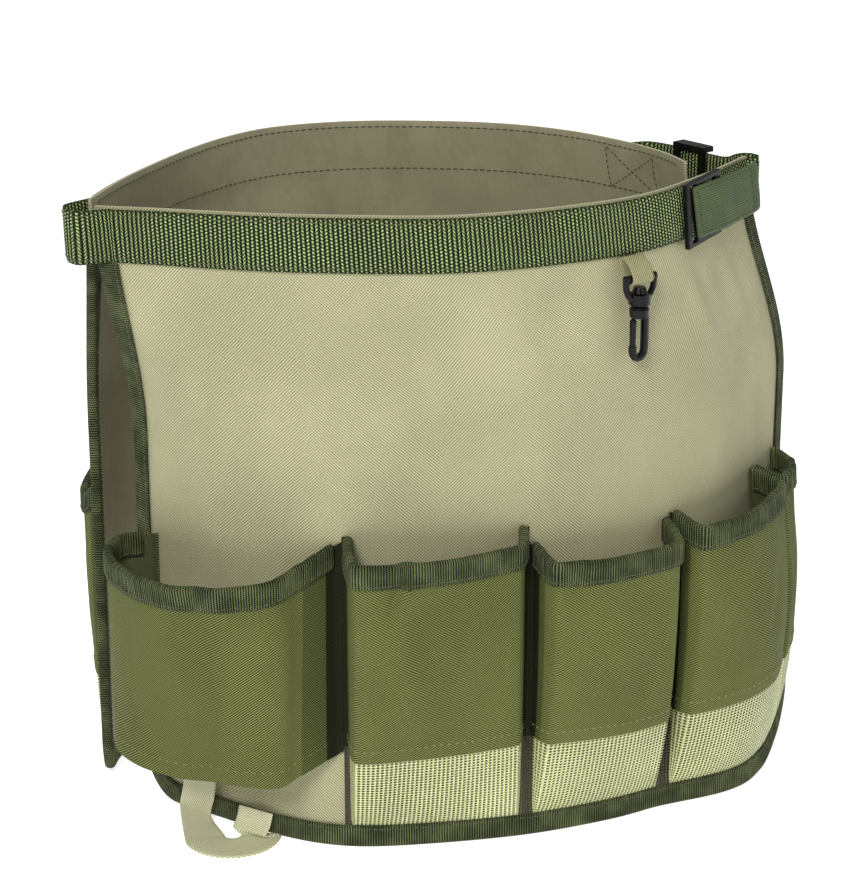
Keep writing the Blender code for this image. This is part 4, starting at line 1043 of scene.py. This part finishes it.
SLIDE_A, SLIDE_B = np.array((146.5, 115.0)), np.array((161.0, 86.0))
STRAP_TURN = ((162.6, 83.2), (164.8, 82.0), (167.4, 82.6), (169.8, 84.8), (172.8, 87.0), (176.8, 87.8), (179.6, 84.8), (179.2, 80.8))
s_low, s_high = [], []
for d in np.linspace(BELT_END + 1.0, BELT_END + 6.0, 3):
    s_low.append(BACK.at(d, BELT_Z0, CLEAR))
    s_high.append(BACK.at(d, BELT_Z1, CLEAR))
for x, y in [(139.4, 123.4)] + [tuple(SLIDE_A + (SLIDE_B - SLIDE_A) * s) for s in (0, 0.5, 1)] + list(STRAP_TURN):
    s_low.append(np.array((x, y, BELT_Z0)))
    s_high.append(np.array((x, y, BELT_Z1)))
for d in np.linspace(FRONT.length - 3.0, d_of_buckle(SLOT_U + 2.6), 7):
    s_low.append(FRONT.at(d, BELT_Z0, CLEAR))
    s_high.append(FRONT.at(d, BELT_Z1, CLEAR))
for u, n in ((SLOT_U - 0.9, CLEAR), (SLOT_U - 0.9, BUCKLE_N1 - 0.9)):
    s_low.append(buckle_point(u, BELT_Z0, n))
    s_high.append(buckle_point(u, BELT_Z1, n))
strap("closure_strap_webbing", s_low, s_high, BELT_T, [WEB, WEB, WEB], "closure_strap", facing_left=True)

t_low, t_high = [], []
for u, n in ((SLOT_U - 0.9, TAIL_N), (-7, TAIL_N), (-4, TAIL_N), (0, TAIL_N), (4, TAIL_N), (8, TAIL_N), (12, TAIL_N), (15, TAIL_N)):
    t_low.append(buckle_point(u, BELT_Z0, n))
    t_high.append(buckle_point(u, BELT_Z1, n))
for d, n in ((FRONT.length - 16, 6.7), (FRONT.length - 11, 6.2), (FRONT.length - 5, 5.6)):
    t_low.append(FRONT.at(d, BELT_Z0, n))
    t_high.append(FRONT.at(d, BELT_Z1, n))
(lo, hi), run = respace([np.array(t_low), np.array(t_high)], 0.7)
w = np.linspace(0, 1, 15)
P = lo[None] * (1 - w)[:, None, None] + hi[None] * w[:, None, None]
edge = np.ones(15)
edge[0] = edge[-1] = 0.4
length = run[-1]
tip = smooth((run - (length - 7.5)) / 0.6)                       # folded end of the flap
N = grid_normals(P)
wave = 0.25 * ripple(run[None] / 9, w[:, None] * 3, 71) * smooth(run / 8)[None]
P = P + N * wave[..., None]
flap = shell("strap_tail_flap", P, BELT_T * 0.5 * (1 - edge[:, None]) * np.ones_like(run)[None],
             BELT_T * (0.5 + 0.5 * edge[:, None]) + (0.7 * tip - 0.25)[None] * edge[:, None], run[None], (w * 24.8)[:, None],
             [PAD, PAD, PAD], body="tail", nodes=("strap_tail",), slot="fastening_pad", crisp=False)
N = grid_normals(P)
seams = []
for at in (3.0, length - 6.2, length - 8.4):
    c = int(np.argmin(abs(run - at)))
    seams.append((P[1:-1, c] + N[1:-1, c] * (BELT_T + (0.5 if at == length - 6.2 else -0.15)), N[1:-1, c]))
for r in (1, 13):
    seams.append((P[r, 4:-10] + N[r, 4:-10] * (BELT_T - 0.2), N[r, 4:-10]))
dashes("strap_tail_stitches", seams, THREAD_DARK, pitch=2.6, length=1.9, r=0.2, body="tail", slot="fastening_pad")

# box and cross of stitches inside the back panel, where the strap is sewn on
def back_inside(d, z):
    return BACK.at(d, z, -PANEL_T - 0.25), -BACK.out(d, z)


BOX_D0, BOX_D1 = 359.0, 393.0
corner = [(BOX_D0, 302.0), (BOX_D1, 302.0), (BOX_D1, 281.5), (BOX_D0, 281.5)]
seams = []
for a, b in ((0, 3), (1, 2), (0, 2), (1, 3)):
    s = np.linspace(0, 1, 30)
    dd = corner[a][0] + (corner[b][0] - corner[a][0]) * s
    zz = corner[a][1] + (corner[b][1] - corner[a][1]) * s
    seams.append(back_inside(dd, zz))
dashes("back_panel_box_stitches", seams, THREAD_DARK, pitch=2.9, length=2.1, r=0.28, slot="webbing")

# ------------------------------------------------------------------ snap hook tape
HOOK_D = FRONT.find_x(90.5, 280.0)
HOOK_OUT = unit(FRONT.out(HOOK_D, 275.0) * np.array((1, 1, 0)))
HOOK_RIGHT = np.array((-HOOK_OUT[1], HOOK_OUT[0], 0))
BAR_Z, HOOK_N, BAR_R = 271.5, 9.5, 1.7
foot = FRONT.at(HOOK_D, BAR_Z, 0)
HOOK_AT = np.array((foot[0], foot[1], BAR_Z)) + HOOK_N * HOOK_OUT
r = BAR_R + 0.35
path = [(-HOOK_N + 1.3, BELT_Z0 - 0.7 - BAR_Z), (-HOOK_N + 2.6, 5.4), (-4.6, 1.6)]
for k in range(9):
    f = math.radians(150 + 30 * k)
    path.append((r * math.cos(f), r * math.sin(f)))
path += [(-0.6, 4.6), (-4.0, 7.0), (-HOOK_N + 2.9, BELT_Z0 - 0.7 - BAR_Z)]
centre = np.array([HOOK_AT + n * HOOK_OUT + np.array((0, 0, z)) for n, z in path])
half = 5.8 * HOOK_RIGHT
(a, b), run = respace([centre - half, centre + half], 0.35)
w = np.linspace(0, 1, 11)
P = a[None] * (1 - w)[:, None, None] + b[None] * w[:, None, None]
middle = HOOK_AT[None, None]
edge = np.ones(11)
edge[0] = edge[-1] = 0.5
hook_tape = shell("hook_tape_strap", P, 0.45 - 0.45 * edge[:, None] * np.ones_like(run)[None],
                  0.45 + 0.45 * edge[:, None] * np.ones_like(run)[None], run[None], (w * 11.6)[:, None], [HOOK_STRAP, HOOK_STRAP, HOOK_STRAP],
                  facing=unit(P - middle), crisp=False, nodes=("hook_tape_loop",), slot="khaki_tape")

# ------------------------------------------------------------------ tool loop
LOOP_W, LOOP_THICK = 19.0, 1.4
LOOP_LEFT, LOOP_RIGHT = 40.5, 70.0
LOOP_START, LOOP_R = np.array((-102.4, 37.6)), 13.6
LOOP_E1, LOOP_E2 = np.array((0.9703, -0.2419)), np.array((0.2419, 0.9703))


def wall_across(d, z, flip):
    t = FRONT.flat(d + 2, z) - FRONT.flat(d - 2, z)
    return flip * unit(np.array((t[0], t[1], 0.0)))


loop = [(FRONT.at(LOOP_LEFT, z, n), wall_across(LOOP_LEFT, z, 1)) for n, z in ((2.6, 34.0), (3.8, 26.0), (6.0, 14.0), (8.6, 5.0))]
for k in range(7):
    a = math.radians(30 * k)
    p = LOOP_START + LOOP_R * ((1 - math.cos(a)) * LOOP_E1 - math.sin(a) * LOOP_E2)
    side = math.cos(a) * LOOP_E1 + math.sin(a) * LOOP_E2
    loop.append((np.array((p[0], p[1], 1.4)), np.array((side[0], side[1], 0.0))))
loop += [(FRONT.at(LOOP_RIGHT, z, n), wall_across(LOOP_RIGHT, z, -1)) for n, z in ((9.6, 3.4), (6.6, 7.4), (4.2, 13.0))]
lows = [c - LOOP_W / 2 * across for c, across in loop]
highs = [c + LOOP_W / 2 * across for c, across in loop]
(a, b), run = respace([np.array(lows), np.array(highs)], 0.6)
w = np.linspace(0, 1, 17)
P = a[None] * (1 - w)[:, None, None] + b[None] * w[:, None, None]
edge = np.ones(17)
edge[0] = edge[-1] = 0.5
tool_loop = shell("tool_loop_webbing", P, -0.6 * edge[:, None] * np.ones_like(run)[None], 0.6 * edge[:, None] * np.ones_like(run)[None],
                  run[None], (w * LOOP_W)[:, None], [STRAP, STRAP, STRAP], crisp=False, nodes=("tool_loop_strap",), slot="khaki_tape")

# ------------------------------------------------------------------ hard pieces
for name in ("closure_buckle", "strap_slider", "snap_hook_base", "snap_hook_body", "snap_hook_gate"):
    node = NODES[name]
    node.data.materials.clear()
    node.data.materials.append(BLACK)

# ------------------------------------------------------------------ floor
floor_mesh = bpy.data.meshes.new("floor")
floor_mesh.from_pydata([(-6, -6, 0), (6, -6, 0), (6, 8, 0), (-6, 8, 0)], [], [(0, 1, 2, 3)])
floor = bpy.data.objects.new("floor", floor_mesh)
bpy.context.scene.collection.objects.link(floor)
fm = Mat("floor_paper")
fm_noise = fm.noise(0.004, 2.0, space="object")
fm.finish(fm.mix(fm.ramp(fm_noise, 0.3, 0.7), (0.78, 0.78, 0.78), (0.80, 0.80, 0.80)), 0.9, None, 0.0, spec=0.1)
fm.bsdf.inputs["Emission Color"].default_value = (1, 1, 1, 1)
fm.bsdf.inputs["Emission Strength"].default_value = 0.74
floor_mesh.materials.append(fm.m)
floor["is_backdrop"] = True


def plain(value):
    if hasattr(value, "items"):
        return {str(a): plain(b) for a, b in value.items()}
    if isinstance(value, (int, float)):
        return float(value)
    return [plain(x) for x in value]


{"cad": plain(CAD_BOX), "visual": plain(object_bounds())}
